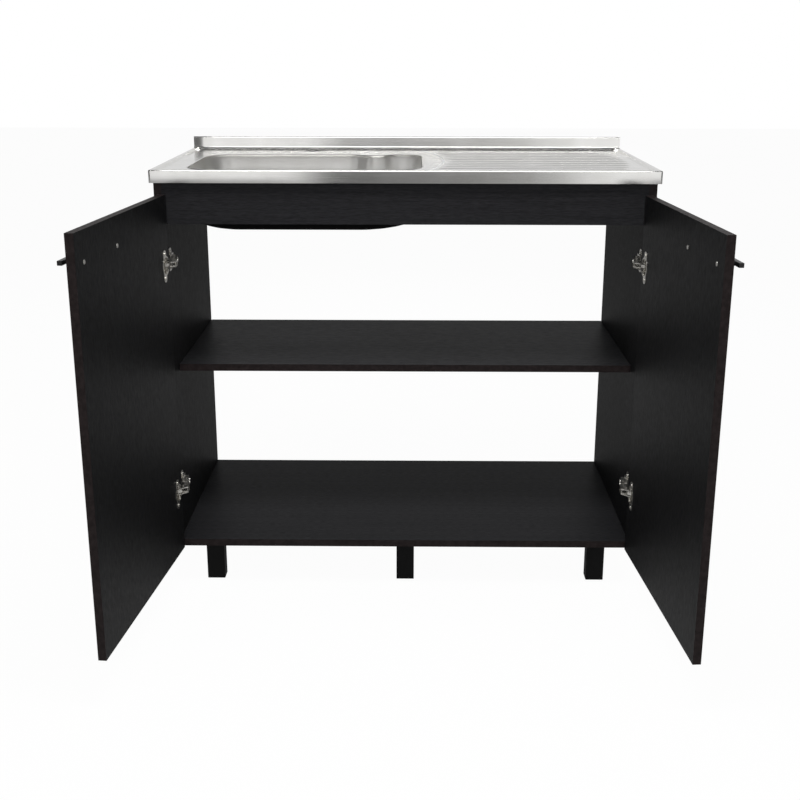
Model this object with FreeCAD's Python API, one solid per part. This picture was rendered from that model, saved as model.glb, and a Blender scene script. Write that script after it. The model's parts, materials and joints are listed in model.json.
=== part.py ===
import FreeCAD, Part
import math
import os

from FreeCAD import Vector

# Kitchen sink unit: a pressed stainless sink top on a two-door cabinet of black panels,
# standing on six short legs. All sizes are in millimetres.
# Working frame: X to the right from the sink's centre, Y back from the lip's front, Z up
# from the floor. Everything is moved at the end, so that the origin lies at the bottom
# centre of the whole unit's box.

# ---- sink top
SINK_WIDTH = 1000.0
SINK_DEPTH = 520.0
TOP_HEIGHT = 890.0
SHEET = 1.0
LIP_HEIGHT = 25.0
LIP_CORNER_RADIUS = 4.0
LIP_BEND_RADIUS = 2.5
BACKSPLASH_HEIGHT = 25.0
BACKSPLASH_THICKNESS = 8.0
RIM_WIDTH = 8.0
PAN_DEPTH = 4.0
PAN_STEP_RUN = 4.0
PAN_CORNER_RADIUS = 14.0
TAP_HOLE_DIAMETER = 35.0
TAP_HOLE_FROM_BOWL_CENTRE = -12.0
TAP_HOLE_FROM_BACK = 52.0

# ---- bowl
BOWL_WIDTH = 476.0
BOWL_LENGTH = 332.0
BOWL_DEPTH = 126.0
BOWL_FROM_SIDE = 59.0
BOWL_FROM_LIP = 40.0
BOWL_CORNER_RADIUS = 68.0
BOWL_BOTTOM_RADIUS = 38.0
BOWL_RIDGE_FROM_RIGHT = 99.0
BOWL_RIDGE_REACH = 34.0
BOWL_RIDGE_LEFT_RUN = 52.0
BOWL_RIDGE_RIGHT_RUN = 38.0
BOWL_RIDGE_RADIUS = 42.0
BOWL_RIDGE_CORNER_RADIUS = 40.0
WASTE_HOLE_DIAMETER = 90.0
WASTE_RECESS_DIAMETER = 116.0
WASTE_RECESS_DEPTH = 5.0

# ---- ribs of the drainer
RIB_COUNT = 10
RIB_PITCH = 38.0
RIB_WIDTH = 12.0
RIB_HEIGHT = 1.6
RIB_FROM_BOWL = 51.0
RIB_FROM_SIDE = 28.0
RIB_MIDDLE_Y = 245.0
RIB_ARC_RADIUS = 620.0

# ---- cabinet panels
SIDE_SETBACK = 6.5
PANEL = 15.0
FRONT_SETBACK = 13.5
BACK_SETBACK = 3.0
RAIL_HEIGHT = 102.0
SHELF_ABOVE_BOTTOM = 366.0
SHELF_SETBACK = 83.5
SHELF_SIDE_GAP = 1.0

# ---- legs
LEG_HEIGHT = 93.0
LEG_WIDTH = 38.0
LEG_DEPTH = 32.0
LEG_CENTRE_FROM_SIDE = 79.5
LEG_ROW_SHIFT = 2.0
LEG_SETBACK = 36.5
LEG_EDGE_CHAMFER = 1.0
STUD_DIAMETER = 8.0
STUD_IN_PANEL = 11.0
STUD_IN_LEG = 24.0

# ---- panel screws and dowels
SCREW_HEAD_DIAMETER = 10.0
SCREW_HEAD_LENGTH = 2.5
SCREW_NECK_DIAMETER = 7.0
SCREW_THREAD_DIAMETER = 5.2
SCREW_LENGTH = 50.0
SCREW_SOCKET_FLATS = 4.0
SCREW_SOCKET_DEPTH = 2.0
SCREW_CLEARANCE = 0.05
SCREW_FROM_PANEL_EDGE = 55.0
RAIL_SCREW_FROM_EDGE = 20.0
DOWEL_DIAMETER = 8.0
DOWEL_LENGTH = 30.0
DOWEL_IN_SIDE = 10.0
DOWEL_CLEARANCE = 0.05
DOWEL_END_PLAY = 1.0

# ---- doors
DOOR_BELOW_TOP = 48.0
DOOR_SIDE_REVEAL = 1.0
DOOR_GAP = 2.0
DOOR_CLOSED_GAP = 1.3
LEFT_DOOR_ANGLE = 95.5
RIGHT_DOOR_ANGLE = 94.1
HINGE_STOP_ANGLE = 95.5

# ---- handles
HANDLE_HOLE_SPACING = 160.0
HANDLE_FROM_FREE_EDGE = 37.5
HANDLE_BELOW_TOP = 52.0
HANDLE_BAR_HEIGHT = 8.0
HANDLE_BAR_DEPTH = 9.0
HANDLE_PROJECTION = 24.0
HANDLE_OVERHANG = 17.0
HANDLE_EDGE_RADIUS = 1.2
HANDLE_SCREW_DIAMETER = 4.0
HANDLE_SCREW_HEAD_DIAMETER = 8.0
HANDLE_SCREW_HEAD_HEIGHT = 0.9
HANDLE_SCREW_GRIP = 10.0
HANDLE_SCREW_CLEARANCE = 0.05

# ---- hinges: where they sit
UPPER_HINGE_BELOW_TOP = 137.0
LOWER_HINGE_ABOVE_BOTTOM = 132.0

# ---- hinge cup, let into the door
CUP_DIAMETER = 35.0
CUP_FROM_EDGE = 5.5
CUP_DEPTH = 12.0
CUP_WALL = 0.8
FLANGE_LENGTH = 64.0
FLANGE_WIDTH = 17.0
FLANGE_THICKNESS = 1.0
FLANGE_MOUTH_BORDER = 1.8
FLANGE_FROM_EDGE = 7.5
FLANGE_SCREW_SPACING = 48.0
FLANGE_SCREW_FROM_CUP = 6.0
FLANGE_SCREW_DIAMETER = 3.5
FLANGE_SCREW_LENGTH = 12.0
FLANGE_SCREW_HEAD_DIAMETER = 7.0
FLANGE_SCREW_HEAD_HEIGHT = 1.4
CUP_CLEARANCE = 0.05

# ---- hinge linkage: pins held by the arm are placed from the side panel's inner face and
# the cabinet's front, pins held by the cup from the door's edge and its inner face
OUTER_ARM_PIN_OFF_SIDE = 21.7
OUTER_ARM_PIN_FORWARD = 7.2
INNER_ARM_PIN_OFF_SIDE = 11.4
INNER_ARM_PIN_FORWARD = 10.2
OUTER_CUP_PIN_FROM_EDGE = 14.9
OUTER_CUP_PIN_DEPTH = 1.3
INNER_CUP_PIN_FROM_EDGE = 13.9
INNER_CUP_PIN_DEPTH = 3.4
OUTER_LINK_SHARE = 0.6
INNER_LINK_SHARE = 0.875
PIN_DIAMETER = 1.6
PIN_CLEARANCE = 0.05
INNER_LINK_PLAY = 0.4
EYE_RADIUS = 1.9
INNER_LINK_CROOK = 3.0
INNER_LINK_HALF_WIDTH = 2.9
LUG_INSIDE = 3.2
LUG_OUTSIDE = 4.4
CHEEK_INSIDE = 3.4
CHEEK_OUTSIDE = 4.9
LINK_PLATE_INSIDE = 5.2
LINK_PLATE_OUTSIDE = 6.7
ARM_PIN_END = 7.2

# ---- hinge arm and mounting plate: distances back from the cabinet's front
ARM_FRONT_OFF_SIDE = 23.6
ARM_FRONT_FROM_FRONT = 3.0
ARM_MIDDLE_OFF_SIDE = 18.0
ARM_MIDDLE_FROM_FRONT = 30.0
ARM_END_OFF_SIDE = 11.5
ARM_END_FROM_FRONT = 66.0
ARM_SHEET = 1.5
ARM_CHEEK_HEIGHT = 7.0
PLATE_FRONT_FROM_FRONT = 27.0
PLATE_BACK_FROM_FRONT = 60.0
PLATE_THICKNESS = 2.0
PLATE_FOOT_HEIGHT = 46.0
PLATE_FOOT_LENGTH = 20.0
PLATE_SADDLE_HEIGHT = 24.0
PLATE_SADDLE_OFF_SIDE = 5.0
PLATE_CROSS_FROM_FRONT = 31.0
PLATE_CROSS_THICKNESS = 1.5
PLATE_CROSS_OFF_SIDE = 14.0
PLATE_CROSS_SLOT = 10.4
PLATE_RIDGE_HALF_WIDTH = 3.1
PLATE_SCREW_SPACING = 32.0
PLATE_SCREW_DIAMETER = 3.5
PLATE_SCREW_LENGTH = 14.0
PLATE_SCREW_HEAD_DIAMETER = 7.0
PLATE_SCREW_HEAD_HEIGHT = 1.8
ADJUSTER_FROM_FRONT = 36.0
FIXING_SCREW_FROM_FRONT = 52.0
ARM_SCREW_DIAMETER = 4.0
ARM_SCREW_HEAD_DIAMETER = 6.4
ARM_SCREW_HEAD_HEIGHT = 2.0
ARM_SCREW_GRIP = 5.0

# ---- sizes that follow from these
PAN_TOP = TOP_HEIGHT - PAN_DEPTH
CABINET_TOP = PAN_TOP - SHEET
LIP_BOTTOM = TOP_HEIGHT - LIP_HEIGHT
FRONT_Y = FRONT_SETBACK
BACK_Y = SINK_DEPTH - BACK_SETBACK
BOWL_CENTRE_X = BOWL_FROM_SIDE + (BOWL_WIDTH - SINK_WIDTH) / 2
TAP_HOLE_X = BOWL_CENTRE_X + TAP_HOLE_FROM_BOWL_CENTRE
RIB_LEFT_X = BOWL_CENTRE_X + BOWL_WIDTH / 2 + RIB_FROM_BOWL
RIB_LENGTH = SINK_WIDTH / 2 - RIB_FROM_SIDE - RIB_LEFT_X
CABINET_WIDTH = SINK_WIDTH - 2 * SIDE_SETBACK
SIDE_OUTER_X = CABINET_WIDTH / 2
SIDE_INNER_X = SIDE_OUTER_X - PANEL
BOTTOM_TOP = LEG_HEIGHT + PANEL
RAIL_BOTTOM = CABINET_TOP - RAIL_HEIGHT
DOOR_BOTTOM = LEG_HEIGHT
DOOR_TOP = TOP_HEIGHT - DOOR_BELOW_TOP
DOOR_WIDTH = SIDE_OUTER_X - DOOR_SIDE_REVEAL - DOOR_GAP / 2
DOOR_EDGE_X = -SIDE_OUTER_X + DOOR_SIDE_REVEAL
SHELF_TOP = BOTTOM_TOP + SHELF_ABOVE_BOTTOM
LEG_PITCH = SIDE_OUTER_X - LEG_CENTRE_FROM_SIDE
DOOR_FACE_Y = FRONT_Y - DOOR_CLOSED_GAP
CUP_CENTRE = CUP_FROM_EDGE + CUP_DIAMETER / 2
HINGE_HEIGHTS = (DOOR_BOTTOM + LOWER_HINGE_ABOVE_BOTTOM, DOOR_TOP - UPPER_HINGE_BELOW_TOP)
HANDLE_HEIGHT = DOOR_TOP - HANDLE_BELOW_TOP
HANDLE_FAR_HOLE = DOOR_WIDTH - HANDLE_FROM_FREE_EDGE
HANDLE_NEAR_HOLE = HANDLE_FAR_HOLE - HANDLE_HOLE_SPACING
CUT = 1.0
SHORTEST_EDGE = 1e-5
LEVEL = 0.01

UP = Vector(0, 0, 1)
nodes = {}


# ---- helpers
def block(x0, x1, y0, y1, z0, z1):
    return Part.makeBox(x1 - x0, y1 - y0, z1 - z0, Vector(x0, y0, z0))


def cylinder(start, radius, length, direction=UP):
    return Part.makeCylinder(radius, length, start, direction)


def fuse(shapes):
    return shapes[0].multiFuse(shapes[1:]).removeSplitter()


def prism(points, z0, z1):
    """Upright solid on a straight-sided outline of (x, y) points."""
    corners = [Vector(x, y, z0) for x, y in points]
    face = Part.Face(Part.makePolygon(corners + corners[:1]))
    return face.extrude(Vector(0, 0, z1 - z0))


def rounded_outline(corners, z):
    """Closed wire through (x, y, radius) corners, each rounded by its radius."""
    points = [Vector(x, y, z) for x, y, radius in corners]
    ends = []
    edges = []
    for k, (x, y, radius) in enumerate(corners):
        corner = points[k]
        back = (points[k - 1] - corner).normalize()
        ahead = (points[(k + 1) % len(points)] - corner).normalize()
        half = back.getAngle(ahead) / 2
        if radius:
            reach = radius / math.tan(half)
            middle = (back + ahead).normalize() * (radius / math.sin(half) - radius)
            start, stop = corner + back * reach, corner + ahead * reach
            edges.append(Part.Arc(start, corner + middle, stop).toShape())
        else:
            start = stop = corner
        ends.append((start, stop))
    for k, (start, stop) in enumerate(ends):
        last = ends[k - 1][1]
        if (start - last).Length > SHORTEST_EDGE:
            edges.append(Part.LineSegment(last, start).toShape())
    return Part.Wire(Part.__sortEdges__(edges))


def rectangle(x0, x1, y0, y1, front_radius, rear_radius):
    return [(x0, y0, front_radius), (x1, y0, front_radius), (x1, y1, rear_radius), (x0, y1, rear_radius)]


def grown(corners, grow):
    """The same rounded outline moved outwards; corners run anticlockwise from above."""
    result = []
    for k, (x, y, radius) in enumerate(corners):
        here = Vector(x, y, 0)
        back = (here - Vector(*corners[k - 1][:2], 0)).normalize()
        ahead = (Vector(*corners[(k + 1) % len(corners)][:2], 0) - here).normalize()
        first = Vector(back.y, -back.x, 0)
        second = Vector(ahead.y, -ahead.x, 0)
        moved = here + (first + second) * (grow / (1 + first.dot(second)))
        turn = math.copysign(grow, back.cross(ahead).z)
        result.append((moved.x, moved.y, radius + turn if radius else radius))
    return result


def rounded_block(corners, z0, z1):
    return Part.Face(rounded_outline(corners, z0)).extrude(Vector(0, 0, z1 - z0))


def edges_where(shape, test):
    return [edge for edge in shape.Edges if test(edge.BoundBox)]


def stadium(a, b, radius, z0, z1):
    """Upright bar with round ends from point a to point b, seen from above."""
    along = (b - a).normalize()
    across = Vector(-along.y, along.x, 0) * radius
    corners = [a + across, b + across, b - across, a - across]
    bar = prism([(p.x, p.y) for p in corners], z0, z1)
    ends = [cylinder(Vector(p.x, p.y, z0), radius, z1 - z0) for p in (a, b)]
    return fuse([bar] + ends)


def hexagon(centre, flats, depth, direction):
    """Six-sided prism for a screw's socket."""
    radius = flats / math.sqrt(3)
    ring = [Vector(radius * math.cos(math.pi / 3 * k), radius * math.sin(math.pi / 3 * k), 0)
            for k in range(7)]
    solid = Part.Face(Part.makePolygon(ring)).extrude(Vector(0, 0, depth))
    solid.Placement = FreeCAD.Placement(centre, FreeCAD.Rotation(UP, direction))
    return solid


def mirrored(shape):
    return shape.mirror(Vector(), Vector(1, 0, 0))


# ---- sink
def bowl_corners():
    """The bowl's outline: a rounded rectangle with a ridge standing into it from the rear."""
    x0 = BOWL_CENTRE_X - BOWL_WIDTH / 2
    x1 = BOWL_CENTRE_X + BOWL_WIDTH / 2
    y0 = BOWL_FROM_LIP
    y1 = BOWL_FROM_LIP + BOWL_LENGTH
    tip = x1 - BOWL_RIDGE_FROM_RIGHT
    return [(x0, y0, BOWL_CORNER_RADIUS), (x1, y0, BOWL_CORNER_RADIUS),
            (x1, y1, BOWL_RIDGE_CORNER_RADIUS),
            (tip + BOWL_RIDGE_RIGHT_RUN, y1, BOWL_RIDGE_RADIUS),
            (tip, y1 - BOWL_RIDGE_REACH, BOWL_RIDGE_RADIUS),
            (tip - BOWL_RIDGE_LEFT_RUN, y1, BOWL_RIDGE_RADIUS),
            (x0, y1, BOWL_CORNER_RADIUS)]


def bowl_form(grow, bottom, top):
    """Solid bowl with its bottom edge rounded, grown outwards by one sheet for the outside."""
    body = rounded_block(grown(bowl_corners(), grow), bottom, top)
    low_edges = edges_where(body, lambda b: abs(b.ZMin - bottom) < LEVEL and b.ZLength < LEVEL)
    return body.makeFillet(BOWL_BOTTOM_RADIUS + grow, low_edges)


def waste_centre(z):
    return Vector(BOWL_CENTRE_X, BOWL_FROM_LIP + BOWL_LENGTH / 2, z)


def sink_bowl():
    floor = PAN_TOP - BOWL_DEPTH
    outside = bowl_form(SHEET, floor - SHEET, PAN_TOP)
    inside = bowl_form(0.0, floor, PAN_TOP + CUT)
    recess_out = cylinder(waste_centre(floor - WASTE_RECESS_DEPTH - SHEET),
                          WASTE_RECESS_DIAMETER / 2 + SHEET, WASTE_RECESS_DEPTH + SHEET)
    recess_in = cylinder(waste_centre(floor - WASTE_RECESS_DEPTH),
                         WASTE_RECESS_DIAMETER / 2, WASTE_RECESS_DEPTH + CUT)
    hole = cylinder(waste_centre(floor - WASTE_RECESS_DEPTH - SHEET - CUT),
                    WASTE_HOLE_DIAMETER / 2, SHEET + 2 * CUT)
    return outside.fuse(recess_out).cut(inside.multiFuse([recess_in, hole]))


def pan_form(grow, drop):
    """Shallow tray with sloping edges, pressed into the deck."""
    half = SINK_WIDTH / 2 - RIM_WIDTH + grow
    front = RIM_WIDTH - grow
    back = SINK_DEPTH - BACKSPLASH_THICKNESS + grow
    run = PAN_STEP_RUN
    foot = PAN_CORNER_RADIUS - run
    upper = rounded_outline(rectangle(-half, half, front, back, PAN_CORNER_RADIUS, PAN_CORNER_RADIUS),
                            TOP_HEIGHT - drop)
    lower = rounded_outline(rectangle(-half + run, half - run, front + run, back - run, foot, foot),
                            PAN_TOP - drop)
    return Part.makeLoft([lower, upper], True, True)


def lip_form(inset, bottom, top):
    """Block under the deck, its front corners and its front and side edges rounded."""
    half = SINK_WIDTH / 2 - inset
    outline = rectangle(-half, half, inset, SINK_DEPTH - inset, LIP_CORNER_RADIUS - inset, 0.0)
    body = rounded_block(outline, bottom, top)
    bends = edges_where(body, lambda b: abs(b.ZMin - top) < LEVEL and b.YMin < SINK_DEPTH / 2)
    return body.makeFillet(LIP_BEND_RADIUS - inset, bends)


def drainer_rib(index):
    """One raised rib: a flat arch in section, its ends on two like arcs."""
    y = RIB_MIDDLE_Y + (index - (RIB_COUNT - 1) / 2) * RIB_PITCH
    inset = RIB_ARC_RADIUS - math.sqrt(RIB_ARC_RADIUS ** 2 - (y - RIB_MIDDLE_Y) ** 2)
    start = RIB_LEFT_X - inset
    radius = (RIB_WIDTH ** 2 / 4 + RIB_HEIGHT ** 2) / (2 * RIB_HEIGHT)
    arch = cylinder(Vector(start, y, PAN_TOP + RIB_HEIGHT - radius), radius, RIB_LENGTH,
                    Vector(1, 0, 0))
    above = block(start, start + RIB_LENGTH, y - RIB_WIDTH, y + RIB_WIDTH,
                  PAN_TOP - SHEET / 2, PAN_TOP + RIB_HEIGHT + CUT)
    return arch.common(above)


def sink_top():
    skin = lip_form(0.0, LIP_BOTTOM, TOP_HEIGHT).cut(
        lip_form(SHEET, LIP_BOTTOM - CUT, TOP_HEIGHT - SHEET))
    half = SINK_WIDTH / 2
    riser = SINK_DEPTH - BACKSPLASH_THICKNESS
    top = TOP_HEIGHT + BACKSPLASH_HEIGHT
    low = TOP_HEIGHT - LIP_BEND_RADIUS - SHEET
    hem = block(-half, half, riser, SINK_DEPTH, low, top)
    hollow = block(-half + SHEET, half - SHEET, riser + SHEET, SINK_DEPTH - SHEET,
                   LIP_BOTTOM - CUT, top - SHEET)
    tap_hole = cylinder(Vector(TAP_HOLE_X, SINK_DEPTH - TAP_HOLE_FROM_BACK, LIP_BOTTOM),
                        TAP_HOLE_DIAMETER / 2, LIP_HEIGHT)
    bowl_hole = rounded_block(grown(bowl_corners(), SHEET), LIP_BOTTOM, TOP_HEIGHT)
    plate = skin.multiFuse([hem, pan_form(SHEET / 2, SHEET)])
    plate = plate.cut(pan_form(0.0, 0.0).multiFuse([hollow, tap_hole, bowl_hole]))
    return plate.multiFuse([drainer_rib(k) for k in range(RIB_COUNT)])


# ---- panel fixings, all entering the side panels from outside, drawn for the left side
def panel_screw(y, z, grow=0.0):
    """Countersunk panel screw along +X from the left side's outer face."""
    x = -SIDE_OUTER_X
    along = Vector(1, 0, 0)
    head = cylinder(Vector(x, y, z), SCREW_HEAD_DIAMETER / 2 + grow, SCREW_HEAD_LENGTH, along)
    neck = cylinder(Vector(x, y, z), SCREW_NECK_DIAMETER / 2 + grow, PANEL, along)
    thread = cylinder(Vector(x, y, z), SCREW_THREAD_DIAMETER / 2 + grow, SCREW_LENGTH + grow, along)
    body = head.multiFuse([neck, thread]).removeSplitter()
    if grow:
        return body
    return body.cut(hexagon(Vector(x, y, z), SCREW_SOCKET_FLATS, SCREW_SOCKET_DEPTH, along))


def dowel(y, z, grow=0.0, play=0.0):
    """Wooden dowel across the joint between the left side and the piece it carries."""
    start = Vector(-SIDE_INNER_X - DOWEL_IN_SIDE - play, y, z)
    return cylinder(start, DOWEL_DIAMETER / 2 + grow, DOWEL_LENGTH + 2 * play, Vector(1, 0, 0))


RAIL_ROWS = (RAIL_BOTTOM + RAIL_SCREW_FROM_EDGE, CABINET_TOP - RAIL_SCREW_FROM_EDGE)
RAIL_MIDDLE = (RAIL_BOTTOM + CABINET_TOP) / 2
FRONT_RAIL_Y = FRONT_Y + PANEL / 2
BACK_RAIL_Y = BACK_Y - PANEL / 2
SHELF_Z = SHELF_TOP - PANEL / 2
BOTTOM_Z = BOTTOM_TOP - PANEL / 2
SHELF_FRONT_Y = FRONT_Y + SHELF_SETBACK
SCREW_PLACES = (
    [(FRONT_RAIL_Y, z) for z in RAIL_ROWS]
    + [(BACK_RAIL_Y, z) for z in RAIL_ROWS]
    + [(y, SHELF_Z) for y in (SHELF_FRONT_Y + SCREW_FROM_PANEL_EDGE, BACK_Y - SCREW_FROM_PANEL_EDGE)]
    + [(y, BOTTOM_Z) for y in (FRONT_Y + SCREW_FROM_PANEL_EDGE, BACK_Y - SCREW_FROM_PANEL_EDGE)])
DOWEL_PLACES = ((FRONT_RAIL_Y, RAIL_MIDDLE), (BACK_RAIL_Y, RAIL_MIDDLE),
                ((SHELF_FRONT_Y + BACK_Y) / 2, SHELF_Z), ((FRONT_Y + BACK_Y) / 2, BOTTOM_Z))


def both_sides(shapes):
    return shapes + [mirrored(shape) for shape in shapes]


def fixing_holes():
    holes = [panel_screw(y, z, SCREW_CLEARANCE) for y, z in SCREW_PLACES]
    holes += [dowel(y, z, DOWEL_CLEARANCE, DOWEL_END_PLAY) for y, z in DOWEL_PLACES]
    return holes


def side_panel():
    panel = block(-SIDE_OUTER_X, -SIDE_INNER_X, FRONT_Y, BACK_Y, LEG_HEIGHT, CABINET_TOP)
    pilots = [plate_screw(z, corner) for z in HINGE_HEIGHTS for corner in (-1, 1)]
    return panel.cut(Part.makeCompound(fixing_holes())).cut(Part.makeCompound(pilots))


def cross_panel(y0, y1, z0, z1, end_gap=0.0):
    """A panel between the two sides, with the holes of the screws and dowels that hold it."""
    half = SIDE_INNER_X - end_gap
    panel = block(-half, half, y0, y1, z0, z1)
    near = [hole for hole in both_sides(fixing_holes())
            if hole.BoundBox.intersect(panel.BoundBox)]
    return panel.cut(Part.makeCompound(near))


# ---- legs
LEG_ROWS_Y = (FRONT_Y + LEG_SETBACK, BACK_Y - LEG_SETBACK - LEG_DEPTH)
LEG_NAMES = (("front_left_leg", "front_middle_leg", "front_right_leg"),
             ("rear_left_leg", "rear_middle_leg", "rear_right_leg"))


def leg_stud(x, y, grow=0.0):
    start = Vector(x, y + LEG_DEPTH / 2, LEG_HEIGHT - STUD_IN_LEG - grow)
    return cylinder(start, STUD_DIAMETER / 2 + grow, STUD_IN_LEG + STUD_IN_PANEL + 2 * grow)


def leg(x, y):
    half = LEG_WIDTH / 2
    post = block(x - half, x + half, y, y + LEG_DEPTH, 0.0, LEG_HEIGHT)
    outline = edges_where(post, lambda b: b.ZMax < LEVEL or b.ZLength > LEG_HEIGHT / 2)
    return post.makeChamfer(LEG_EDGE_CHAMFER, outline).cut(leg_stud(x, y, SCREW_CLEARANCE))


def leg_places():
    for row, names in zip(LEG_ROWS_Y, LEG_NAMES):
        for column, name in enumerate(names):
            yield name, LEG_ROW_SHIFT + (column - 1) * LEG_PITCH, row


# ---- the hinge's pins, seen from above with the left door closed
def cup_point(from_edge, depth):
    return Vector(DOOR_EDGE_X + from_edge, DOOR_FACE_Y - depth, 0)


def arm_point(off_side, from_front):
    return Vector(-SIDE_INNER_X + off_side, FRONT_Y + from_front, 0)


OUTER_ARM_PIN = arm_point(OUTER_ARM_PIN_OFF_SIDE, -OUTER_ARM_PIN_FORWARD)
INNER_ARM_PIN = arm_point(INNER_ARM_PIN_OFF_SIDE, -INNER_ARM_PIN_FORWARD)
OUTER_CUP_PIN = cup_point(OUTER_CUP_PIN_FROM_EDGE, OUTER_CUP_PIN_DEPTH)
INNER_CUP_PIN = cup_point(INNER_CUP_PIN_FROM_EDGE, INNER_CUP_PIN_DEPTH)


def turned(point, centre, degrees):
    rotation = FreeCAD.Rotation(UP, degrees)
    return centre + rotation.multVec(point - centre)


def outer_cup_pin_at(opening):
    """Where the outer link carries the door's pin when the door has opened this far."""
    return turned(OUTER_CUP_PIN, OUTER_ARM_PIN, OUTER_LINK_SHARE * opening)


def with_door(shape, opening):
    """Moves a piece of the closed left door to where it is at this opening."""
    moved = shape.copy()
    moved.rotate(OUTER_CUP_PIN, UP, -opening)
    moved.translate(outer_cup_pin_at(opening) - OUTER_CUP_PIN)
    return moved


def with_link(shape, pin, share, opening):
    moved = shape.copy()
    moved.rotate(pin, UP, share * opening)
    return moved


# ---- hinge pieces, drawn on the closed left door with the hinge's middle at height 0
def pin(centre, z0, z1, grow=0.0):
    return cylinder(Vector(centre.x, centre.y, z0), PIN_DIAMETER / 2 + grow, z1 - z0)


def flange_screw_centre(end):
    point = cup_point(CUP_CENTRE + FLANGE_SCREW_FROM_CUP, -FLANGE_THICKNESS)
    return Vector(point.x, point.y, end * FLANGE_SCREW_SPACING / 2)


def flange_screw(end):
    """Screw through the flange into the door, its round head on the flange."""
    centre = flange_screw_centre(end)
    head = cylinder(centre, FLANGE_SCREW_HEAD_DIAMETER / 2, FLANGE_SCREW_HEAD_HEIGHT, Vector(0, 1, 0))
    shank = cylinder(centre, FLANGE_SCREW_DIAMETER / 2, FLANGE_SCREW_LENGTH, Vector(0, -1, 0))
    slot = Part.makeBox(FLANGE_SCREW_HEAD_DIAMETER, FLANGE_SCREW_HEAD_HEIGHT, PIN_DIAMETER / 2)
    slot.translate(centre + Vector(-FLANGE_SCREW_HEAD_DIAMETER / 2, FLANGE_SCREW_HEAD_HEIGHT / 2,
                                   -PIN_DIAMETER / 4))
    return head.fuse(shank).removeSplitter().cut(slot)


def flange_screw_hole(end):
    centre = flange_screw_centre(end) + Vector(0, CUT, 0)
    return cylinder(centre, FLANGE_SCREW_DIAMETER / 2 + CUP_CLEARANCE,
                    FLANGE_SCREW_LENGTH + CUT + CUP_CLEARANCE, Vector(0, -1, 0))


def cup_cylinder(radius, depth, above):
    """Upright on the door's inner face: a cylinder from this depth to this height above it."""
    centre = cup_point(CUP_CENTRE, depth)
    return cylinder(centre, radius, depth + above, Vector(0, 1, 0))


def hinge_cup():
    mouth = CUP_DIAMETER / 2 - CUP_WALL
    shell = cup_cylinder(CUP_DIAMETER / 2, CUP_DEPTH, 0.0)
    face = DOOR_FACE_Y
    line = cup_point(CUP_CENTRE + FLANGE_SCREW_FROM_CUP, 0.0).x
    lobe = FLANGE_WIDTH / 2
    reach = FLANGE_LENGTH / 2 - lobe
    bar = block(line - lobe, line + lobe, face, face + FLANGE_THICKNESS, -reach, reach)
    lobes = [cylinder(Vector(line, face, end * reach), lobe, FLANGE_THICKNESS, Vector(0, 1, 0))
             for end in (-1, 1)]
    ring = cup_cylinder(CUP_DIAMETER / 2 + FLANGE_MOUTH_BORDER, 0.0, FLANGE_THICKNESS)
    near_edge = DOOR_EDGE_X + CUP_FROM_EDGE
    trim = block(DOOR_EDGE_X - CUP_DIAMETER, DOOR_EDGE_X + FLANGE_FROM_EDGE, face,
                 face + 2 * FLANGE_THICKNESS, -CUP_DIAMETER, CUP_DIAMETER)
    flange = bar.multiFuse(lobes + [ring]).cut(trim)
    hollow = cup_cylinder(mouth, CUP_DEPTH - CUP_WALL, FLANGE_THICKNESS + CUT)
    body = shell.fuse(flange).cut(hollow)
    wall = Vector(near_edge, INNER_CUP_PIN.y, 0)
    lugs = []
    for side in (-1, 1):
        low, high = sorted((side * LUG_INSIDE, side * LUG_OUTSIDE))
        lugs.append(stadium(wall, INNER_CUP_PIN, EYE_RADIUS, low, high).common(
            cup_cylinder(CUP_DIAMETER / 2, CUP_DEPTH, 0.0)))
    holes = [flange_screw_hole(end) for end in (-1, 1)]
    holes += [pin(INNER_CUP_PIN, -LUG_OUTSIDE - CUT, LUG_OUTSIDE + CUT)]
    return body.multiFuse(lugs).cut(Part.makeCompound(holes)).cut(Part.makeCompound(cup_pins()))


def cup_pins():
    """Two stubs from the cup's wall for the outer plates, and a short pin between the lugs."""
    offset = cup_point(CUP_CENTRE, 0.0).x - OUTER_CUP_PIN.x
    wall = math.sqrt((CUP_DIAMETER / 2) ** 2 - offset ** 2) - CUP_WALL / 2
    stubs = [pin(OUTER_CUP_PIN, LUG_OUTSIDE + PIN_CLEARANCE, wall),
             pin(OUTER_CUP_PIN, -wall, -LUG_OUTSIDE - PIN_CLEARANCE)]
    return stubs + [pin(INNER_CUP_PIN, -LUG_OUTSIDE, LUG_OUTSIDE)]


def arm_pins():
    return [pin(OUTER_ARM_PIN, -ARM_PIN_END, ARM_PIN_END),
            pin(INNER_ARM_PIN, -CHEEK_OUTSIDE, CHEEK_OUTSIDE)]


def outer_links():
    """The outer link: one plate on each side of the arm, from arm pin to cup pin."""
    plates = []
    for low, high in ((LINK_PLATE_INSIDE, LINK_PLATE_OUTSIDE),
                      (-LINK_PLATE_OUTSIDE, -LINK_PLATE_INSIDE)):
        plate = stadium(OUTER_ARM_PIN, OUTER_CUP_PIN, EYE_RADIUS, low, high)
        holes = [pin(p, low - CUT, high + CUT, PIN_CLEARANCE) for p in (OUTER_ARM_PIN, OUTER_CUP_PIN)]
        plates.append(plate.cut(Part.makeCompound(holes)))
    return plates


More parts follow.
